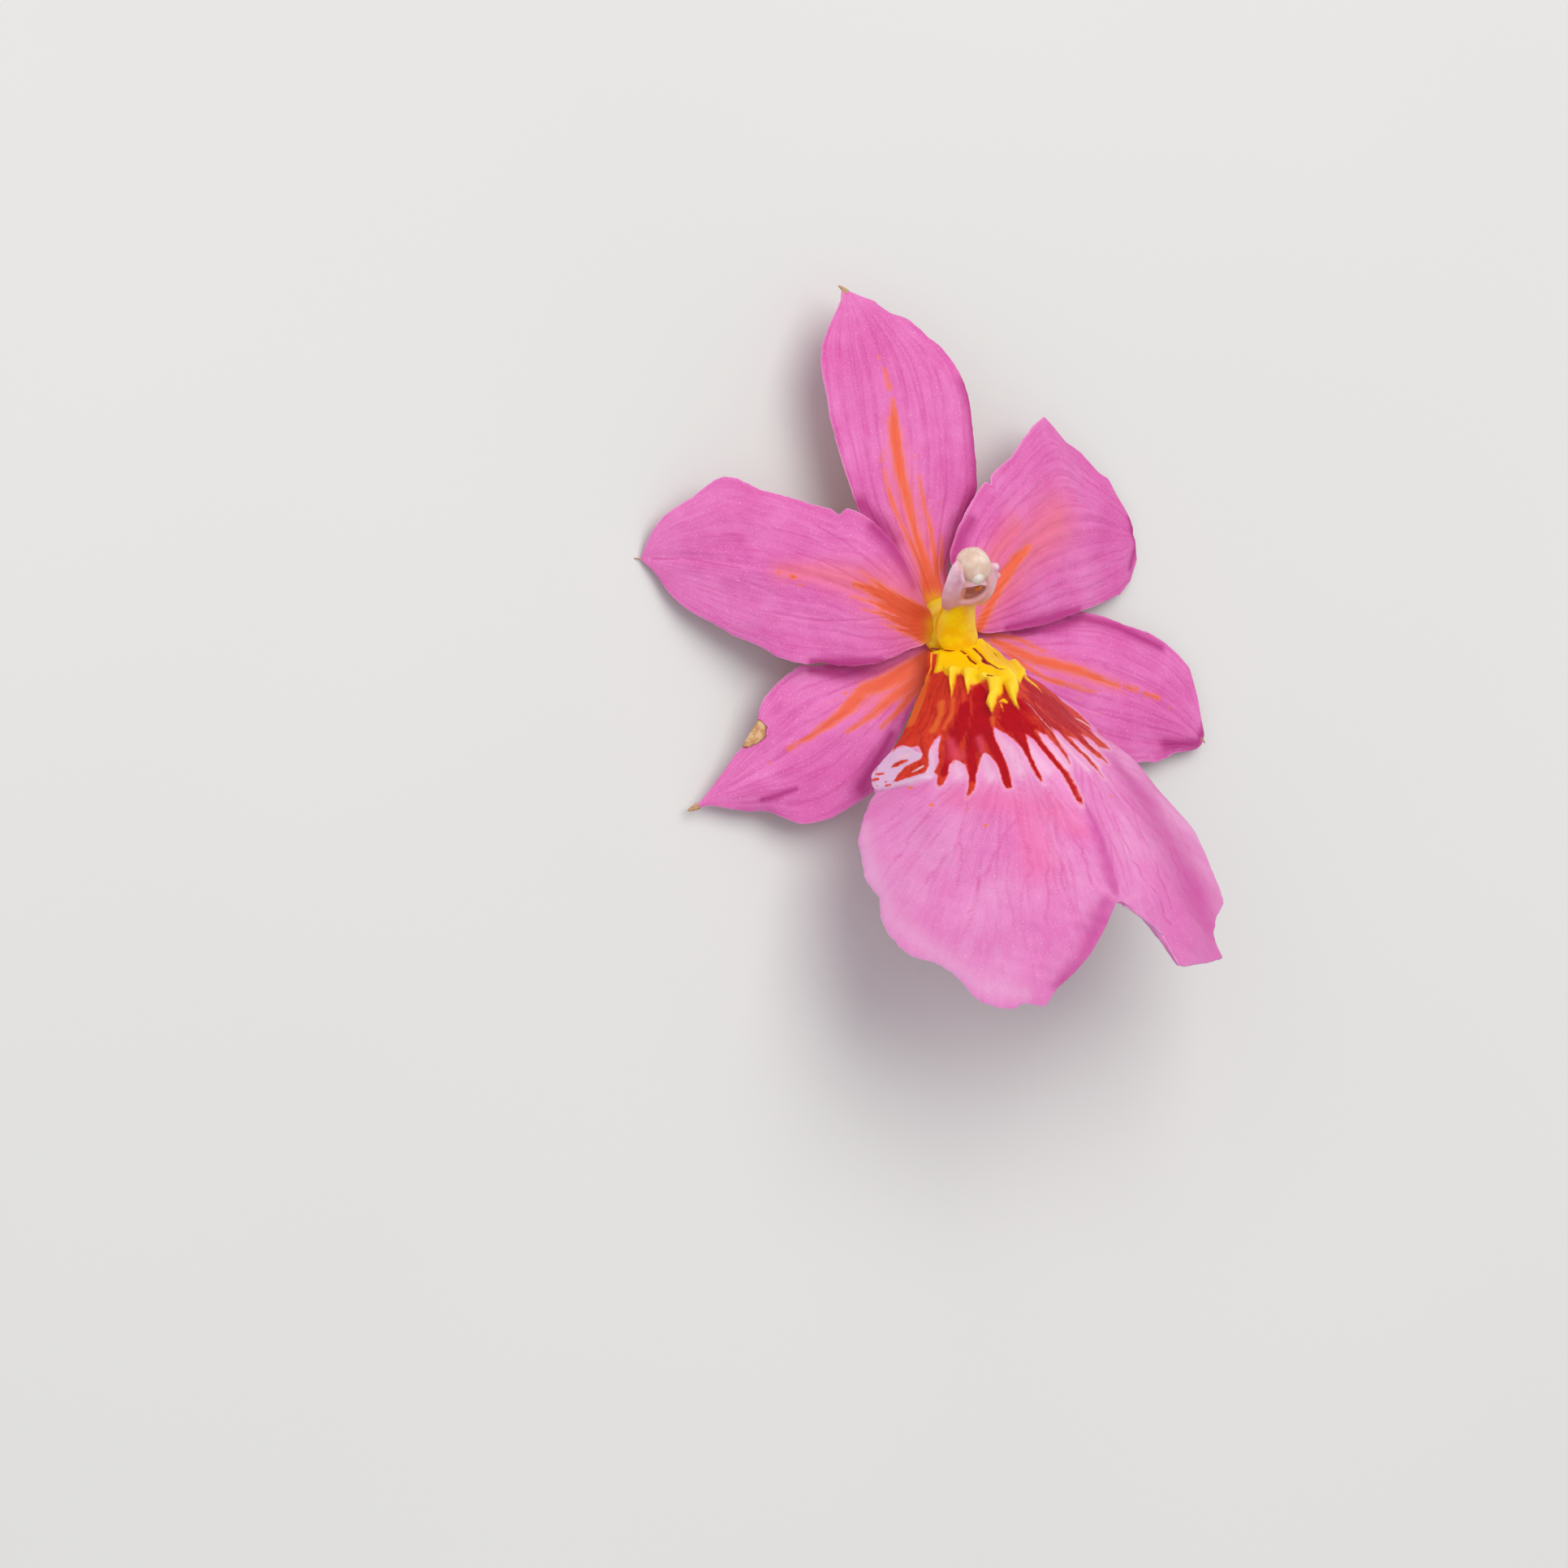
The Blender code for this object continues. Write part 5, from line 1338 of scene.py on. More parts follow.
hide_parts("lip")

# The callus and the red mask carry fine short hairs that glisten, scattered by a Geometry Nodes tree.
HAIRS_PER_SQUARE_MM = 2.0
HAIR_LENGTH = 0.14
HAIR_WIDTH = 0.012
HAIR_SEED = 17
HAIR_SIDES = 5
SHORTEST_HAIR = 0.5
LONGEST_HAIR = 1.2


def group_socket(group, name, kind, value=None, way="INPUT"):
    socket = group.interface.new_socket(name=name, in_out=way, socket_type=kind)
    if value is not None:
        socket.default_value = value
    return socket.identifier


def named_field(group, name):
    """What a mesh keeps under this name, one number per point."""
    return add(group, "GeometryNodeInputNamedAttribute", {"Name": name}, data_type="FLOAT").outputs[0]


def dressed(group, geometry, material):
    """Ends a tree: its geometry is made real, gets the material and goes out."""
    solid = add(group, "GeometryNodeRealizeInstances", {"Geometry": geometry}).outputs["Geometry"]
    dress = add(
        group, "GeometryNodeSetMaterial", {"Material": material, "Geometry": solid},
    ).outputs["Geometry"]
    add(group, "NodeGroupOutput", {0: dress})


def hair_tree(material):
    """Scatters short tapered hairs over a patch, thickest where its hairy attribute is 1."""
    group = bpy.data.node_groups.new("fine_hairs", "GeometryNodeTree")
    sockets = {
        "patch": group_socket(group, "Patch", "NodeSocketGeometry"),
        "density": group_socket(group, "Density", "NodeSocketFloat", 1.0),
        "seed": group_socket(group, "Seed", "NodeSocketInt", 1),
        "length": group_socket(group, "Hair Length", "NodeSocketFloat", 0.001),
        "width": group_socket(group, "Hair Width", "NodeSocketFloat", 0.0001),
        "sides": group_socket(group, "Hair Sides", "NodeSocketInt", 5),
    }
    group_socket(group, "Hairs", "NodeSocketGeometry", way="OUTPUT")
    start = group.nodes.new("NodeGroupInput").outputs
    density = maths(group, "MULTIPLY", named_field(group, "hairy"), start["Density"])
    scatter = add(group, "GeometryNodeDistributePointsOnFaces", {
        "Mesh": start["Patch"], "Density": density, "Seed": start["Seed"],
    }).outputs
    cone = add(group, "GeometryNodeMeshCone", {
        "Vertices": start["Hair Sides"], "Radius Bottom": start["Hair Width"], "Depth": start["Hair Length"],
    }).outputs["Mesh"]
    size = add(group, "FunctionNodeRandomValue", {
        2: SHORTEST_HAIR, 3: LONGEST_HAIR, "Seed": start["Seed"],
    }, data_type="FLOAT").outputs[1]
    place = add(group, "GeometryNodeInstanceOnPoints", {
        "Points": scatter["Points"], "Instance": cone, "Rotation": scatter["Rotation"], "Scale": size,
    }).outputs["Instances"]
    dressed(group, place, material)
    return group, sockets


def grown_mesh(patch, group, values):
    """The plain mesh that a Geometry Nodes tree makes of a patch, which is then removed."""
    bpy.context.scene.collection.objects.link(patch)
    step = patch.modifiers.new("grow", "NODES")
    step.node_group = group
    for socket, value in values:
        step[socket] = value
    made = bpy.data.meshes.new_from_object(patch.evaluated_get(bpy.context.evaluated_depsgraph_get()))
    patch.modifiers.remove(step)
    bpy.data.objects.remove(patch, do_unlink=True)
    return made


hair_finish = new_material("glassy_hair")
hair_colour = clouded(hair_finish, 900.0, 1.0, 0.3, 0.7, srgb(226, 120, 100), srgb(244, 190, 170))
hair_finish.tree.links.new(hair_colour, hair_finish.shader.inputs["Base Color"])
hair_finish.shader.inputs["Roughness"].default_value = 0.25
rows, columns = lip_blade.inset.shape
skin = lip_blade.points + lip_blade.normals * (lip_relief + lip_swell + lip_half)[..., None]
numbers = np.arange(rows * columns).reshape(rows, columns)
quads = np.stack((numbers[:-1, :-1], numbers[:-1, 1:], numbers[1:, 1:], numbers[1:, :-1]), axis=-1)
hairy = step_height(red, -0.1, 0.3) * step_height(lip_blade.places, 0.02, 0.05)[:, None]
hairy *= step_height(lip_blade.inset, 0.2, 0.5) * (1 - 0.6 * step_height(callus, -0.1, 0.2))
kept = quads[(hairy[:-1, :-1] > 0.02)]
patch_data = mesh_of("hairy_patch", skin, faces=kept[:, ::-1].tolist())
keep_field(patch_data, "hairy", hairy)
hair_group, hair_sockets = hair_tree(hair_finish.material)
hair_data = grown_mesh(bpy.data.objects.new("hairy_patch", patch_data), hair_group, (
    (hair_sockets["density"], HAIRS_PER_SQUARE_MM / MM**2), (hair_sockets["seed"], HAIR_SEED),
    (hair_sockets["length"], HAIR_LENGTH * MM), (hair_sockets["width"], HAIR_WIDTH * MM),
    (hair_sockets["sides"], HAIR_SIDES),
))
hairs = placed("lip_hairs", hair_data)
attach(hairs, "root")


# Column
# The flower's middle: a waxy yellow stem that turns pinkish and hollow under the anther, with a thin pale
# wing on each side. Its foot, its base, the wings and the rim round the hollow are melted into one body.
COLUMN_RINGS = (
    (-0.45, 0.05, 2.10, 1.55),
    (0.00, 0.80, 2.15, 1.60),
    (1.10, 2.20, 2.10, 1.50),
    (2.50, 3.90, 2.00, 1.40),
    (3.80, 5.80, 2.05, 1.50),
    (4.85, 7.93, 2.20, 1.65),
    (5.27, 8.53, 2.10, 1.60),
    (5.55, 8.93, 1.95, 1.50),
)
COLUMN_TOP = np.array((0.0, 5.55, 8.93))
COLUMN_TILT = math.radians(35)
COLUMN_ROUNDS = 120
COLUMN_SIDES = 120
STIGMA_CENTRE = (-0.4, -2.25)
STIGMA_SIZE = (1.6, 1.55)
STIGMA_DEPTH = 0.9
STIGMA_RIM_RISE = 0.28
STIGMA_RIM_AT = 1.12
STIGMA_RIM_WIDTH = 0.16
column_axis = np.array((0.0, math.sin(COLUMN_TILT), math.cos(COLUMN_TILT)))
column_front = np.array((0.0, -math.cos(COLUMN_TILT), math.sin(COLUMN_TILT)))


def on_column(side, up, front):
    """A point at the column's end, moved to the right, along the column and to its lip side."""
    return COLUMN_TOP + np.array((1.0, 0.0, 0.0)) * side + column_axis * up + column_front * front


def stigma_reach(side, up):
    """How far out from the stigma's middle a place is. 1 is the edge of the stigma's hollow."""
    return np.hypot((side - STIGMA_CENTRE[0]) / STIGMA_SIZE[0], (up - STIGMA_CENTRE[1]) / STIGMA_SIZE[1])


def tube_faces(rounds, sides):
    """Faces of a tube of rings, with a fan at each end round a middle point added after the rings."""
    faces = ring_faces(rounds, sides)
    first, last = rounds * sides, rounds * sides + 1
    for k in range(sides):
        n = (k + 1) % sides
        faces.append((n, k, first))
        faces.append(((rounds - 1) * sides + k, (rounds - 1) * sides + n, last))
    return faces


def ball(half, sides=36, rings=20):
    """Points and faces of an egg shape of these half sizes (right, up, front), round its own middle."""
    polar = np.linspace(0, math.pi, rings)
    turns = np.linspace(0, 2 * math.pi, sides, endpoint=False)
    points = np.stack((
        np.outer(np.sin(polar), np.cos(turns)) * half[0], np.outer(np.cos(polar), np.ones(sides)) * half[1],
        np.outer(np.sin(polar), np.sin(turns)) * half[2],
    ), axis=-1)
    return points.reshape(-1, 3), ring_faces(rings, sides)


rows = along(COLUMN_RINGS, np.linspace(0, 1, COLUMN_ROUNDS))
turns = np.linspace(0, 2 * math.pi, COLUMN_SIDES, endpoint=False)
column_points = np.zeros((COLUMN_ROUNDS, COLUMN_SIDES, 3))
centres = np.stack((np.zeros(COLUMN_ROUNDS), rows[:, 0], rows[:, 1]), axis=1)
runs = unit(np.gradient(centres, axis=0))
across_way = np.array((1.0, 0.0, 0.0))
deep_ways = np.cross(np.broadcast_to(across_way, runs.shape), runs)
fading = np.linspace(1, 0.3, COLUMN_ROUNDS)
for k, turn in enumerate(turns):
    ridge = 1 + 0.05 * math.cos(3 * turn + 0.6) * fading + 0.02 * math.sin(7 * turn)
    sideways = across_way[None] * (rows[:, 2] * math.cos(turn) * ridge)[:, None]
    column_points[:, k] = centres + sideways + deep_ways * (rows[:, 3] * math.sin(turn) * ridge)[:, None]
local = column_points - COLUMN_TOP
side_at, up_at, front_at = local[..., 0], local @ column_axis, local @ column_front
hollow = stigma_reach(side_at, up_at)
cavity = step_height(1.25 - hollow, 0.0, 0.8) * (front_at > 0)
rim_line = np.exp(-(((hollow - STIGMA_RIM_AT) / STIGMA_RIM_WIDTH) ** 2)) * (front_at > 0)
column_points += column_front * (STIGMA_RIM_RISE * rim_line - STIGMA_DEPTH * cavity)[..., None]
end_points = np.stack((centres[0], centres[-1]))

column_finish = new_material("column_wax")
tree = column_finish.tree
height_up = field_of(column_finish, "up")
ragged_up = maths(
    tree, "ADD", height_up, maths(tree, "MULTIPLY", noise(tree, column_finish.spot, 700.0, 2.0), 0.9),
)
yellow = clouded(column_finish, 600.0, 2.0, 0.35, 0.7, srgb(250, 192, 0), srgb(255, 214, 10))
yellow = blend(
    tree,
    maths(tree, "MULTIPLY", ramp(tree, noise(tree, column_finish.spot, 2600.0, 1.0), 0.66, 0.76), 0.45),
    yellow, srgb(254, 226, 120),
)
waist = blend(tree, ramp(tree, ragged_up, -4.4, -3.5), yellow, srgb(250, 226, 150))
top = blend(tree, ramp(tree, ragged_up, -3.5, -3.1), waist, srgb(222, 176, 170))
inner = clouded(column_finish, 800.0, 2.0, 0.3, 0.7, srgb(222, 142, 116), srgb(232, 168, 150))
wing_clouds = noise(tree, column_finish.spot, 500.0, 3.0)
winged = blend(tree, ramp(tree, wing_clouds, 0.3, 0.7), srgb(224, 168, 184), srgb(240, 206, 220))
winged = blend(
    tree, ramp(tree, maths(tree, "MULTIPLY", ragged_up, -1.0), 0.4, 4.0), winged, srgb(214, 150, 146),
)
whole = blend(tree, field_of(column_finish, "wing"), top, winged)
whole = tint(column_finish, "rim", 0.8, whole, srgb(222, 154, 144))
whole = blend(tree, field_of(column_finish, "peach"), whole, srgb(236, 170, 122))
whole = blend(tree, ramp(tree, field_of(column_finish, "cavity"), 0.08, 0.5), whole, inner)
whole = blend(tree, ramp(tree, field_of(column_finish, "seam"), 0.15, 0.5), whole, srgb(176, 56, 20))
surface(column_finish, whole, noise(tree, column_finish.spot, 2400.0, 2.0), 0.25, 0.1)
wax(column_finish, 0.32, 0.3, (1.0, 0.6, 0.4))

# The foot is a saddle from the column's lip side down to the callus, and the base is the swollen place behind
# it from which every blade grows. Both are the same yellow wax.
FOOT_RINGS = (
    (-0.3, 3.2, 6.4, 1.4, 0.5),
    (-0.45, 2.2, 4.75, 2.0, 0.8),
    (-0.6, 1.05, 3.35, 2.4, 1.0),
    (-0.5, -0.3, 2.25, 2.55, 1.0),
    (-0.2, -1.4, 1.7, 2.5, 0.9),
    (0.0, -2.1, 1.5, 2.1, 0.75),
    (0.1, -2.8, 1.4, 1.5, 0.5),
)
FOOT_ROUNDS = 60
BASE_SPOT = (0.0, 0.4, -0.5)
BASE_HALF = (3.4, 1.3, 3.3)
foot_rows = along(FOOT_RINGS, np.linspace(0, 1, FOOT_ROUNDS))
foot_runs = unit(np.gradient(foot_rows[:, :3], axis=0))
foot_deep = unit(np.cross(np.broadcast_to(across_way, foot_runs.shape), foot_runs))
foot_points = (
    foot_rows[:, None, :3] + across_way * (foot_rows[:, 3:4] * np.cos(turns))[..., None]
    + foot_deep[:, None, :] * (foot_rows[:, 4:5] * np.sin(turns))[..., None]
)
foot_places = np.concatenate((foot_points.reshape(-1, 3), foot_rows[[0, -1], :3]))
base_places, base_faces = ball(BASE_HALF, 72, 40)
base_places = base_places[:, [0, 2, 1]] + np.array(BASE_SPOT)


def laid_on_column(points, middle, tilt=0.0):
    """Points of (right, up, front) turned in the column's own plane by a tilt and moved to their middle."""
    right = points[:, 0] * math.cos(tilt) - points[:, 1] * math.sin(tilt)
    up = points[:, 0] * math.sin(tilt) + points[:, 1] * math.cos(tilt)
    return middle + right[:, None] * across_way + up[:, None] * column_axis + points[:, 2:3] * column_front


def column_spot(across, down, front):
    """The point this far to the column's lip side that is seen at a pixel of the photograph."""
    start = seen(np.array((on_column(0, 0, front), on_column(1, 0, front), on_column(0, 1, front))))
    grid = np.stack((start[1] - start[0], start[2] - start[0]), axis=1)
    side, up = np.linalg.solve(grid, np.array((across, down)) - start[0])
    return on_column(side, up, front)


# A wing is a ladder of (root in the column, middle, free margin), each a pixel and how far it lies to the lip
# side.
WING_THICKNESS = 0.8
WING_MARGIN = 0.42
WING_ROWS = 60
WING_COLUMNS = 30
LEFT_WING = (
    ((1190, 694, -0.6), (1185, 692, -0.9), (1179, 691, -1.2)),
    ((1191, 703, 0.0), (1182, 701, 0.0), (1173, 700, -0.7)),
    ((1190, 714, 0.4), (1180, 714, 0.5), (1167, 713, -0.2)),
    ((1188, 727, 0.6), (1175, 728, 0.7), (1162, 728, 0.1)),
    ((1184, 738, 0.7), (1172, 739, 0.8), (1160, 738, 0.3)),
    ((1181, 742, 0.8), (1171, 746, 0.9), (1161, 747, 0.5)),
    ((1179, 743, 0.8), (1172, 748, 0.8), (1165, 750, 0.6)),
)
LEFT_LOBE = (
    ((1186, 694, -0.5), (1184, 696, -0.2), (1185, 698, 0.0)),
    ((1187, 702, -0.1), (1184, 703, 0.2), (1187, 703, 0.5)),
    ((1186, 710, 0.2), (1184, 711, 0.6), (1187, 711, 0.95)),
    ((1184, 718, 0.5), (1185, 718, 0.9), (1188, 718, 1.3)),
    ((1179, 728, 0.6), (1181, 728, 1.0), (1184, 729, 1.35)),
    ((1175, 738, 0.7), (1177, 738, 0.9), (1180, 739, 1.2)),
)
RIGHT_WING = (
    ((1208, 694, -0.7), (1217, 693, -0.2), (1224, 694, 0.1)),
    ((1211, 701, 0.2), (1220, 699, 0.3), (1228, 699, 0.4)),
    ((1214, 709, 0.8), (1222, 709, 0.8), (1229, 708, 0.7)),
    ((1217, 718, 1.3), (1222, 718, 1.25), (1227, 717, 1.1)),
    ((1213, 729, 1.5), (1218, 730, 1.5), (1223, 730, 1.5)),
    ((1207, 736, 1.5), (1212, 739, 1.6), (1216, 740, 1.7)),
    ((1198, 740, 1.3), (1203, 744, 1.4), (1206, 746, 1.5)),
)
RIGHT_KNOBS = ((1226, 698.5, 0.35, 0.5), (1222.5, 701, 0.3, 0.5), (1229.5, 709, 0.75, 0.34))
STIGMA_RIM = (
    (1214, 704, 0.9, 0.3), (1218, 713, 1.4, 0.32), (1219, 721, 1.7, 0.34), (1215, 729, 1.8, 0.34),
    (1209, 735, 1.8, 0.38), (1200, 740, 1.6, 0.42), (1189, 742, 1.3, 0.42), (1179, 742, 0.9, 0.4),
)
RIM_ROUNDS = 60
RIM_SIDES = 24
FLESH_VOXEL = 0.085
FLESH_ROUNDING = 16
SEAM = ((1148, 799), (1160, 801), (1178, 803), (1186, 807), (1192, 812))
SEAM_WIDTH = 1.7
SEAM_BELOW = -1.0
SEAM_SAMPLES = 60
STEM_HALF = (2.15, 1.6)
WING_LOW = -5.3
WING_LOW_INSIDE = 0.9
WING_INSIDE = 2.2
RIM_REACH = 0.62
PEACH_SPOT = (1208, 744, 1.5)
PEACH_REACH = 1.1


def sheet_part(ladder):
    """A closed thick sheet from a ladder, as places and faces."""
    rungs = [[tuple(column_spot(*point)) for point in rung] for rung in ladder]
    sheet = shape_blade(rungs, WING_ROWS, WING_COLUMNS, 0.2, 0.0, 0.0, ((), ()), 5, 0.0)
    half = 0.5 * (WING_THICKNESS + (WING_MARGIN - WING_THICKNESS) * (0.5 + 0.5 * sheet.across))[None, :, None]
    front, back = sheet.points + sheet.normals * half, sheet.points - sheet.normals * half
    size = front.shape[0] * front.shape[1]
    numbers = np.arange(size).reshape(front.shape[:2])
    faces = []
    for shift in (0, size):
        grid = numbers + shift
        faces += np.stack(
            (grid[:-1, :-1], grid[:-1, 1:], grid[1:, 1:], grid[1:, :-1]), axis=-1,
        ).reshape(-1, 4).tolist()
    border = np.concatenate((numbers[0, :], numbers[1:, -1], numbers[-1, -2::-1], numbers[-2:0:-1, 0]))
    for a, b in zip(border, np.roll(border, -1)):
        faces.append([int(a), int(b), int(b) + size, int(a) + size])
    return np.concatenate((front.reshape(-1, 3), back.reshape(-1, 3))), faces


def cord_part(cord):
    """A closed round cord along points with a half width each."""
    way = unit(np.gradient(cord[:, :3], axis=0))
    aside = unit(np.cross(way, column_axis))
    above = np.cross(aside, way)
    ring = np.linspace(0, 2 * math.pi, RIM_SIDES, endpoint=False)
    skin = cord[:, None, :3] + cord[:, 3][:, None, None] * (
        aside[:, None, :] * np.cos(ring)[None, :, None] + above[:, None, :] * np.sin(ring)[None, :, None])
    return np.concatenate((skin.reshape(-1, 3), cord[[0, -1], :3])), tube_faces(RIM_ROUNDS, RIM_SIDES)


def fused(parts, voxel, rounding):
    """One closed mesh of overlapping closed parts, with the creases between them rounded."""
    faces, count = [], 0
    for places, sides in parts:
        faces += [tuple(count + number for number in face) for face in sides]
        count += len(places)
    data = bpy.data.meshes.new("fused")
    data.from_pydata(np.concatenate([places for places, sides in parts]).tolist(), [], faces)
    whole = placed("fused", data)
    melt = whole.modifiers.new("melt", "REMESH")
    melt.mode = "VOXEL"
    melt.voxel_size = voxel
    soften = whole.modifiers.new("soften", "SMOOTH")
    soften.factor = 0.5
    soften.iterations = rounding
    made = bpy.data.meshes.new_from_object(whole.evaluated_get(bpy.context.evaluated_depsgraph_get()))
    bpy.data.objects.remove(whole, do_unlink=True)
    places = np.empty(len(made.vertices) * 3)
    made.vertices.foreach_get("co", places)
    return places.reshape(-1, 3), [tuple(face.vertices) for face in made.polygons]


rim_cord = along(
    [tuple(column_spot(*point[:3])) + (point[3],) for point in STIGMA_RIM], np.linspace(0, 1, RIM_ROUNDS),
)
flesh_parts = [
    (np.concatenate((column_points.reshape(-1, 3), end_points)), tube_faces(COLUMN_ROUNDS, COLUMN_SIDES)),
    (foot_places, tube_faces(FOOT_ROUNDS, COLUMN_SIDES)), (base_places, base_faces),
    sheet_part(LEFT_WING), sheet_part(LEFT_LOBE), sheet_part(RIGHT_WING), cord_part(rim_cord),
]
for across, down, front, size in RIGHT_KNOBS:
    knob, knob_faces = ball((size, size, size), 24, 14)
    flesh_parts.append((knob + column_spot(across, down, front), knob_faces))
flesh_places, flesh_faces = fused(flesh_parts, FLESH_VOXEL, FLESH_ROUNDING)
local = flesh_places - COLUMN_TOP
side_at, up_at, front_at = local[:, 0], local @ column_axis, local @ column_front
inside = step_height(1.2 - stigma_reach(side_at, up_at), 0.0, 0.5)
inside *= step_height(1.35 - front_at, 0.0, 0.5) * (front_at > -0.5)
outward = np.hypot(side_at / STEM_HALF[0], front_at / STEM_HALF[1])
wing_end = WING_LOW + WING_LOW_INSIDE * (np.abs(side_at) < WING_INSIDE)
winged = step_height(outward, 0.95, 1.15) * step_height(up_at - wing_end, -0.35, 0.35)
rim_gap = np.linalg.norm(flesh_places[:, None, :] - rim_cord[None, ::3, :3], axis=2).min(axis=1)
rimmed = np.exp(-((rim_gap / RIM_REACH) ** 2))
seam_line = along(SEAM, np.linspace(0, 1, SEAM_SAMPLES))
seam_gap = np.linalg.norm(seen(flesh_places)[:, None, :] - seam_line[None], axis=2).min(axis=1)
seam = np.clip(1 - seam_gap / SEAM_WIDTH, 0, 1) * (flesh_places[:, 1] < SEAM_BELOW)
peach_spot = column_spot(*PEACH_SPOT)
peach = np.exp(-(((flesh_places - peach_spot) ** 2).sum(axis=1) / PEACH_REACH**2))
column = mesh_piece("column_body", flesh_places, flesh_faces, column_finish.material, {
    "cavity": inside, "wing": winged, "up": up_at, "peach": peach, "rim": rimmed, "seam": seam,
})
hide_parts("column")


# Anther cap
# A waxy cream dome that sits on the column's end and lifts off in nature. Its lip side narrows into a pale
# blunt beak over the sticky pad.
CAP_SIZE = (2.0, 2.0, 1.95)
CAP_SQUARENESS = 0.82
CAP_LIFT = 0.3
CAP_BACK = 0.45
CAP_TURN = math.radians(-13)
CAP_LENGTHENING = 0.15
CAP_NARROWING = 0.06
SHIELD_DROP = 0.5
SHIELD_FLATTENING = 0.25
FURROW_WIDTH = 0.16
FURROW_DEPTH = 0.035
CAP_FLOOR_RINGS = 13
BEAK_HALF = (0.62, 0.8, 0.5)
BEAK_PIXEL = (1204.5, 714.5)
BEAK_FRONT = 1.35
CAP_VOXEL = 0.08
CAP_ROUNDING = 10
CAP_SIDES = 96
CAP_RINGS = 56

polar = np.linspace(0, math.pi / 2, CAP_RINGS)
under = np.linspace(1.0, 0.0, CAP_FLOOR_RINGS + 1)[1:]
turns = np.linspace(0, 2 * math.pi, CAP_SIDES, endpoint=False)
dome = np.stack((
    np.outer(np.sin(polar), np.cos(turns)), np.outer(np.sin(polar), np.sin(turns)),
    np.outer(np.cos(polar), np.ones(CAP_SIDES)),
), axis=-1)
floor_rings = np.stack((
    np.outer(under, np.cos(turns)), np.outer(under, np.sin(turns)), np.zeros((CAP_FLOOR_RINGS, CAP_SIDES)),
), axis=-1)
cap = np.concatenate((dome, floor_rings))
cap[..., :2] = np.sign(cap[..., :2]) * np.abs(cap[..., :2]) ** CAP_SQUARENESS
forward = np.clip(cap[..., 1], 0, None)
furrow = np.exp(-((cap[..., 0] / FURROW_WIDTH) ** 2)) * np.clip(cap[..., 2], 0, 1)
lump = (
    1 + 0.035 * np.sin(3 * cap[..., 0] + 1.1) + 0.03 * np.sin(4 * cap[..., 1] + 0.4) - FURROW_DEPTH * furrow
)
side = cap[..., 0] * CAP_SIZE[0] * (1 - CAP_NARROWING * forward**2) * lump
front_way = cap[..., 1] * CAP_SIZE[1] * lump + CAP_LENGTHENING * forward**3
rise = cap[..., 2] * CAP_SIZE[2] * lump * (1 - SHIELD_FLATTENING * forward**2) - SHIELD_DROP * forward**2
turned_side = side * math.cos(CAP_TURN) + front_way * math.sin(CAP_TURN)
turned_front = front_way * math.cos(CAP_TURN) - side * math.sin(CAP_TURN)
cap_points = (
    COLUMN_TOP + turned_side[..., None] * across_way + (turned_front - CAP_BACK)[..., None] * column_front
    + (rise + CAP_LIFT)[..., None] * column_axis
)
cap_faces = ring_faces(len(cap_points), CAP_SIDES)
cap_finish = new_material("anther_wax")
tree = cap_finish.tree
cream = clouded(cap_finish, 700.0, 3.0, 0.35, 0.7, srgb(224, 190, 170), srgb(240, 220, 204))
cream = blend(tree, ramp(tree, field_of(cap_finish, "beak"), 0.45, 0.85), cream, srgb(238, 230, 220))
cream = blend(
    tree, maths(tree, "MULTIPLY", ramp(tree, field_of(cap_finish, "low"), 0.45, 0.05), 0.3), cream,
    srgb(170, 148, 136),
)
surface(cap_finish, cream, noise(tree, cap_finish.spot, 2200.0, 3.0), 0.3, 0.1)
wax(cap_finish, 0.38, 0.3, (1.0, 0.8, 0.6))
nose_points, nose_faces = ball(BEAK_HALF)
nose_spot = column_spot(*BEAK_PIXEL, BEAK_FRONT)
cap_places, cap_skin = fused(
    [(cap_points.reshape(-1, 3), cap_faces), (laid_on_column(nose_points, nose_spot), nose_faces)], CAP_VOXEL,
    CAP_ROUNDING,
)
local = cap_places - nose_spot
reach = np.sqrt((local[:, 0] / BEAK_HALF[0]) ** 2 + (local @ column_axis / BEAK_HALF[1]) ** 2
                + (local @ column_front / BEAK_HALF[2]) ** 2)
anther = mesh_piece(
    "anther_dome", cap_places, cap_skin, cap_finish.material,
    {"beak": 1 - step_height(reach, 1.0, 1.5), "low": (cap_places - COLUMN_TOP) @ column_axis / CAP_SIZE[2]},
)
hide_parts("anther_cap")


# Pollinarium
# Two flat waxy pollen masses under the cap, on a strap that ends in a sticky orange-brown pad, which is the
# only part that shows, under the beak.
PAD_SPOT = (-0.08, -1.14, 1.75)
PAD_HALF = (0.58, 0.27, 0.2)
PAD_TILT = math.radians(32)
POLLEN_SPOTS = ((-0.43, -0.37, -0.08), (0.47, -0.33, -0.11))
POLLEN_HALF = (0.5, 0.22, 0.7)
POLLEN_TILT = 0.1
STRAP_HALF = (0.34, 0.1)
STRAP_ROUNDS = 30
STRAP_SIDES = 16
STRAP_SPOTS = ((0.0, -0.36, -0.2), (-0.05, -0.38, 0.7), (-0.15, -0.6, 1.4), (-0.15, -1.05, 1.72))

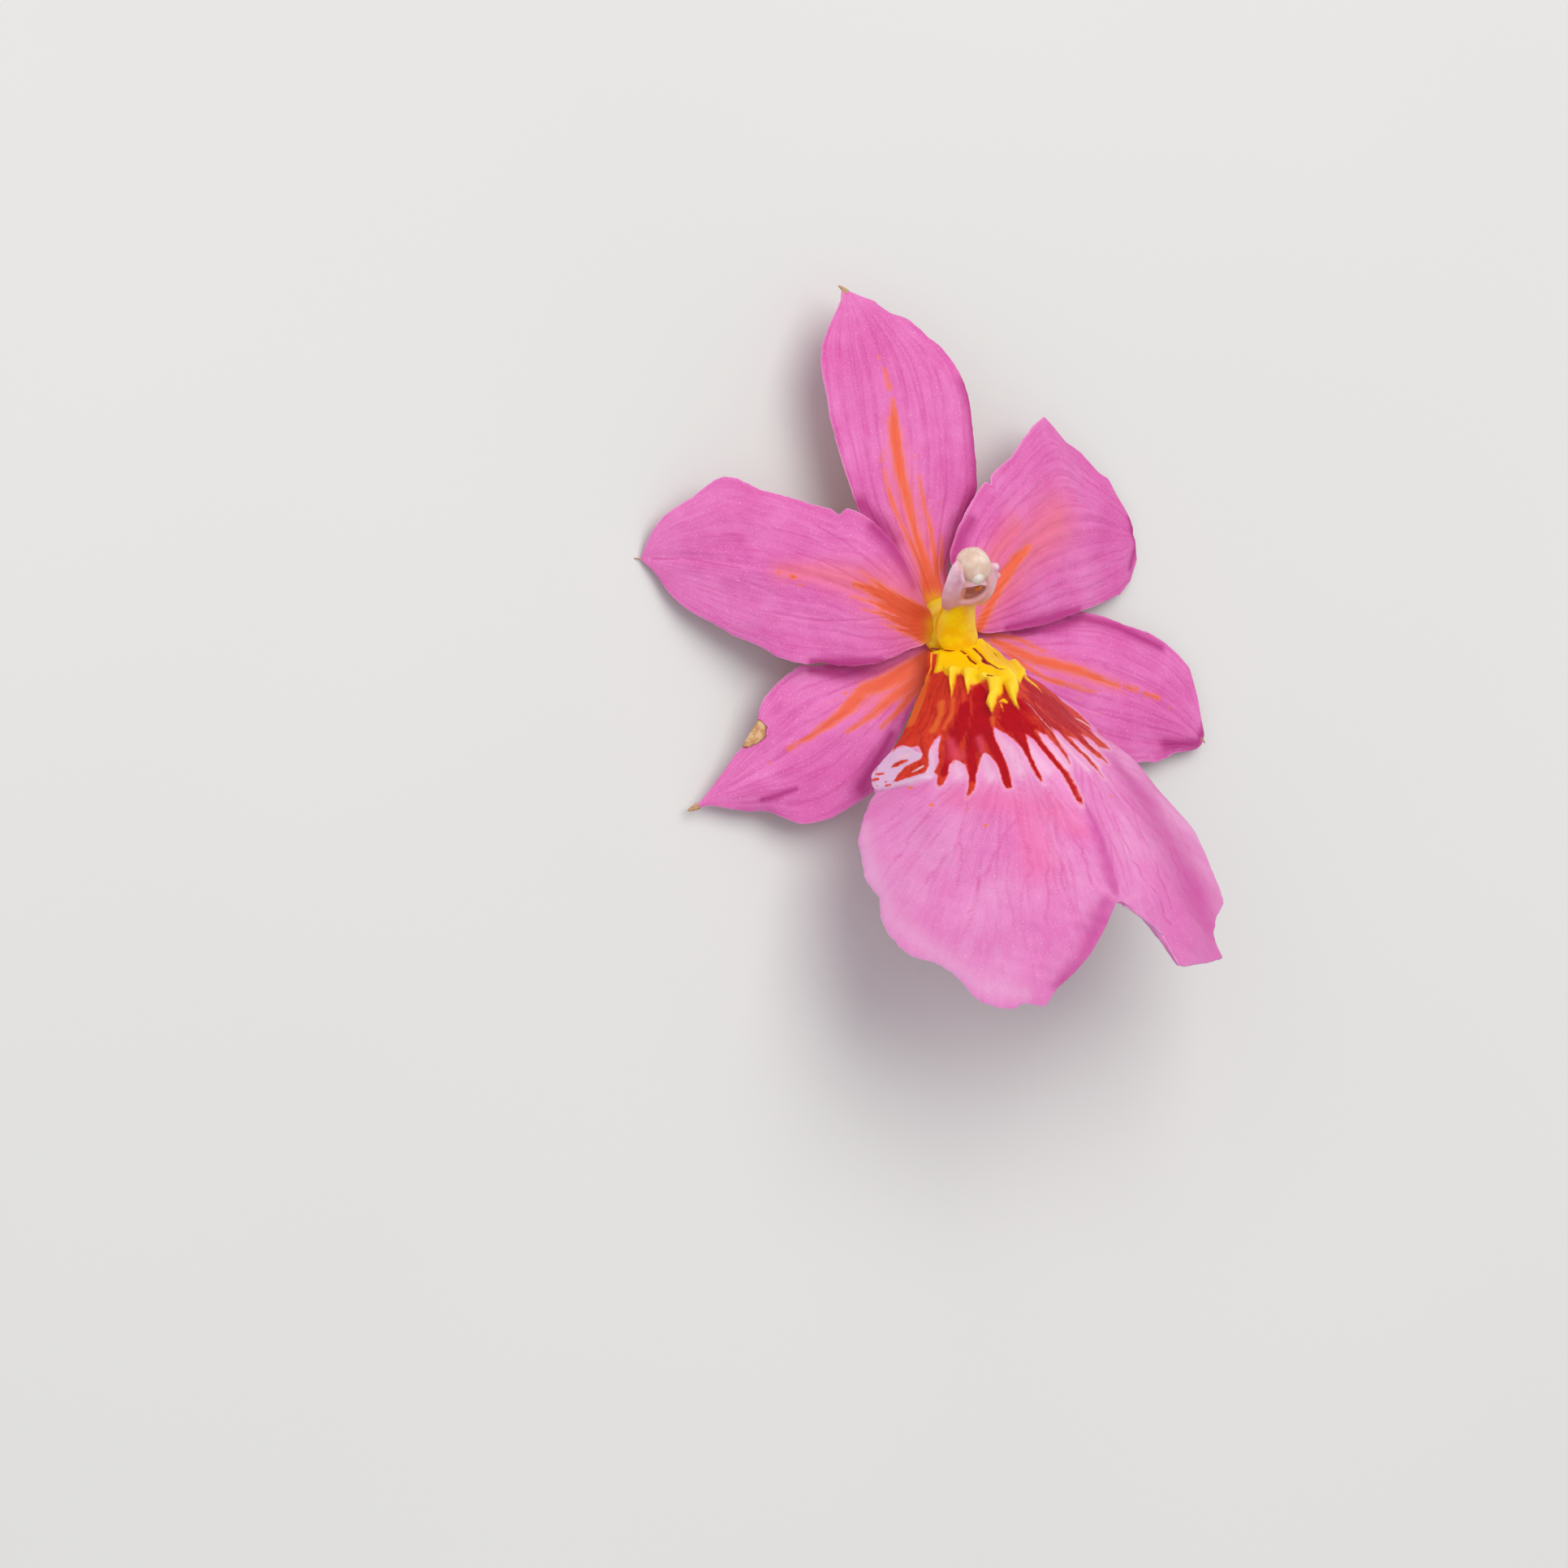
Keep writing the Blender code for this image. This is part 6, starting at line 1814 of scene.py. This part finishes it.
pollen_points, pollen_faces = [], []
for half, spot, tilt in (
    (PAD_HALF, PAD_SPOT, PAD_TILT), (POLLEN_HALF, POLLEN_SPOTS[0], POLLEN_TILT),
    (POLLEN_HALF, POLLEN_SPOTS[1], -POLLEN_TILT),
):
    points, faces = ball(half)
    base = sum(len(part) for part in pollen_points)
    pollen_points.append(laid_on_column(points, on_column(*spot), tilt))
    pollen_faces += [tuple(base + number for number in face) for face in faces]
strap_rows = along(STRAP_SPOTS, np.linspace(0, 1, STRAP_ROUNDS))
strap = []
for i, (a, b, c) in enumerate(strap_rows):
    for turn in np.linspace(0, 2 * math.pi, STRAP_SIDES, endpoint=False):
        strap.append(on_column(a + STRAP_HALF[0] * math.cos(turn), b + STRAP_HALF[1] * math.sin(turn), c))
base = sum(len(part) for part in pollen_points)
strap_ends = [on_column(*strap_rows[0]), on_column(*strap_rows[-1])]
pollen_points.append(np.array(strap + strap_ends))
pollen_faces += [tuple(base + number for number in face) for face in tube_faces(STRAP_ROUNDS, STRAP_SIDES)]
pollen_finish = new_material("pollen_wax")
tree = pollen_finish.tree
amber = clouded(pollen_finish, 1500.0, 2.0, 0.35, 0.65, srgb(150, 62, 12), srgb(204, 104, 22))
surface(pollen_finish, amber, noise(tree, pollen_finish.spot, 3000.0, 2.0), 0.2, 0.08)
pollen_finish.shader.inputs["Roughness"].default_value = 0.25
pollinarium = mesh_piece("pollen_masses", np.concatenate(pollen_points), pollen_faces, pollen_finish.material)
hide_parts("pollinarium")


# Ovary and stalk
# The six-ribbed ovary behind the flower and the stalk it was picked with, one green stem with a pinkish
# flush near the flower and a pale cut end. A Geometry Nodes tree sweeps it along its path.
STALK_POINTS = (
    (0.0, 0.1, -1.05, 1.95),
    (0.0, 0.0, -2.0, 2.05),
    (0.0, -0.4, -3.6, 1.90),
    (0.0, -1.5, -5.3, 1.75),
    (0.1, -3.9, -7.1, 1.65),
    (0.3, -7.4, -7.9, 1.55),
    (0.6, -12.0, -8.0, 1.42),
    (1.0, -17.5, -8.15, 1.30),
    (1.5, -23.5, -8.25, 1.22),
    (2.1, -30.0, -8.25, 1.25),
)
STALK_ROUNDS = 240
STALK_SIDES = 72
OVARY_RIBS = 6
RIB_DEPTH = 0.11
RIBBED_SHARE = 0.62
CUT_EDGE = math.radians(50)


def stalk_tree(material):
    """Sweeps a ribbed round section along the stem's path, with the ribs fading towards the cut."""
    group = bpy.data.node_groups.new("ribbed_stem", "GeometryNodeTree")
    sockets = {
        "path": group_socket(group, "Path", "NodeSocketGeometry"),
        "ribs": group_socket(group, "Ribs", "NodeSocketFloat", 6.0),
        "depth": group_socket(group, "Rib Depth", "NodeSocketFloat", 0.1),
        "share": group_socket(group, "Ribbed Share", "NodeSocketFloat", 0.6),
        "sides": group_socket(group, "Sides", "NodeSocketInt", 72),
    }
    group_socket(group, "Stem", "NodeSocketGeometry", way="OUTPUT")
    start = group.nodes.new("NodeGroupInput").outputs
    thick = named_field(group, "thick")
    factor = add(group, "GeometryNodeSplineParameter").outputs["Factor"]
    curve = add(group, "GeometryNodeMeshToCurve", {0: start["Path"]}).outputs[0]
    curve = add(group, "GeometryNodeSetCurveRadius", {"Curve": curve, "Radius": thick}).outputs["Curve"]
    ring = add(group, "GeometryNodeCurvePrimitiveCircle", {"Radius": 1.0, "Resolution": start["Sides"]})

    def keeping(geometry, name):
        """Keeps on each point how far along its own line it lies."""
        inputs = {"Geometry": geometry, "Name": name, "Value": factor}
        settings = {"data_type": "FLOAT", "domain": "POINT"}
        return add(group, "GeometryNodeStoreNamedAttribute", inputs, **settings).outputs[0]

    ring = keeping(ring.outputs["Curve"], "around")
    curve = keeping(curve, "place")
    sweep = add(group, "GeometryNodeCurveToMesh", {"Curve": curve, "Profile Curve": ring, "Fill Caps": True})
    if "Scale" in sweep.inputs:
        group.links.new(thick, sweep.inputs["Scale"])
    turn = maths(group, "MULTIPLY", named_field(group, "around"), start["Ribs"])
    wave = maths(group, "COSINE", maths(group, "MULTIPLY", turn, 2 * math.pi))
    run = maths(group, "DIVIDE", named_field(group, "place"), start["Ribbed Share"])
    fade = maths(group, "MAXIMUM", maths(group, "SUBTRACT", 1.0, run))
    depth = maths(group, "MULTIPLY", start["Rib Depth"], thick)
    lift = maths(group, "MULTIPLY", maths(group, "MULTIPLY", wave, fade), depth)
    out = add(group, "GeometryNodeInputNormal").outputs[0]
    push = add(group, "ShaderNodeVectorMath", {0: out, "Scale": lift}, operation="SCALE").outputs[0]
    ribbed = add(group, "GeometryNodeSetPosition", {"Geometry": sweep.outputs["Mesh"], "Offset": push})
    dressed(group, ribbed.outputs["Geometry"], material)
    return group, sockets


stalk_finish = new_material("stalk_green")
tree = stalk_finish.tree
stem_place = field_of(stalk_finish, "place")
stem_run = add(tree, "ShaderNodeCombineXYZ", {
    "X": maths(tree, "MULTIPLY", stem_place, 14.0),
    "Y": maths(tree, "MULTIPLY", field_of(stalk_finish, "around"), 24.0),
}).outputs[0]
green = blend(
    tree, ramp(tree, noise(tree, stem_run, 1.0, 3.0), 0.3, 0.7), srgb(118, 146, 52), srgb(162, 184, 82),
)
green = blend(tree, ramp(tree, stem_place, 0.3, 0.02), green, srgb(196, 172, 128))
green = blend(
    tree,
    maths(tree, "MULTIPLY", ramp(tree, noise(tree, stalk_finish.spot, 2600.0, 2.0), 0.62, 0.75), 0.35),
    green, srgb(206, 218, 140),
)
cut_face = ramp(tree, stem_place, 0.997, 0.9995)
green = blend(tree, cut_face, green, srgb(216, 222, 170))
surface(stalk_finish, green, noise(tree, stem_run, 2.0, 3.0), 0.3, 0.1)
wax(stalk_finish, 0.42, 0.15)

stalk_rows = along(STALK_POINTS, np.linspace(0, 1, STALK_ROUNDS))
path = mesh_of("stalk_path", stalk_rows[:, :3], edges=[(i, i + 1) for i in range(STALK_ROUNDS - 1)])
keep_field(path, "thick", stalk_rows[:, 3] * MM)
stem_group, stem_sockets = stalk_tree(stalk_finish.material)
stalk_mesh = grown_mesh(bpy.data.objects.new("stalk_path", path), stem_group, (
    (stem_sockets["ribs"], float(OVARY_RIBS)), (stem_sockets["depth"], RIB_DEPTH),
    (stem_sockets["share"], RIBBED_SHARE), (stem_sockets["sides"], STALK_SIDES),
))
closed(stalk_mesh).set_sharp_from_angle(angle=CUT_EDGE)
stalk = placed("ovary_and_stalk", stalk_mesh)
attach(stalk, "root")
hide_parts("pedicel")


# Floor and light
# A plain pale surface under the flower, and soft light from above, with a broad and gentle key from the top
# right.
FLOOR_SIZE = 4.0
FLOOR_COLOUR = srgb(227, 226, 223)
floor_data = bpy.data.meshes.new("floor")
half = FLOOR_SIZE / 2
floor_data.from_pydata(
    [(-half, -half, 0), (half, -half, 0), (half, half, 0), (-half, half, 0)], [], [(0, 1, 2, 3)],
)
floor = placed("floor", floor_data)
floor_finish = new_material("floor_pale")
floor_tone = clouded(floor_finish, 8.0, 2.0, 0.2, 0.8, srgb(224, 223, 220), FLOOR_COLOUR)
floor_finish.tree.links.new(floor_tone, floor_finish.shader.inputs["Base Color"])
floor_finish.shader.inputs["Roughness"].default_value = 0.8
floor_data.materials.append(floor_finish.material)

KEY_AWAY = 0.9
KEY_SIZE = 0.8
KEY_WATTS = 5.5
FILL_AWAY = 1.0
FILL_SIZE = 1.2
FILL_WATTS = 2.2
ROOM_STRENGTH = 0.5
ROOM_COLOUR = (0.93, 0.95, 1.0, 1.0)


def area_light(name, way, away, size, watts, colour):
    """A square soft light that shines on the flower from this direction."""
    data = bpy.data.lights.new(name, "AREA")
    data.shape = "SQUARE"
    data.size = size
    data.energy = watts
    data.color = colour
    made = placed(name, data)
    way = Vector(unit(np.array(way)))
    made.location = Vector(FLOWER_MIDDLE * MM) + way * away
    made.rotation_euler = way.to_track_quat("Z", "Y").to_euler()


area_light(
    "key", to_camera * 0.75 + to_top * 0.5 + to_right * 0.5, KEY_AWAY, KEY_SIZE, KEY_WATTS,
    (1.0, 0.98, 0.95),
)
area_light(
    "fill", to_camera * 0.9 - to_right * 0.6 + to_top * 0.2, FILL_AWAY, FILL_SIZE, FILL_WATTS,
    (0.96, 0.98, 1.0),
)
world = bpy.data.worlds.new("soft_room")
world.use_nodes = True
world.node_tree.nodes["Background"].inputs["Color"].default_value = ROOM_COLOUR
world.node_tree.nodes["Background"].inputs["Strength"].default_value = ROOM_STRENGTH
bpy.context.scene.world = world
bpy.context.scene.view_settings.view_transform = "Standard"
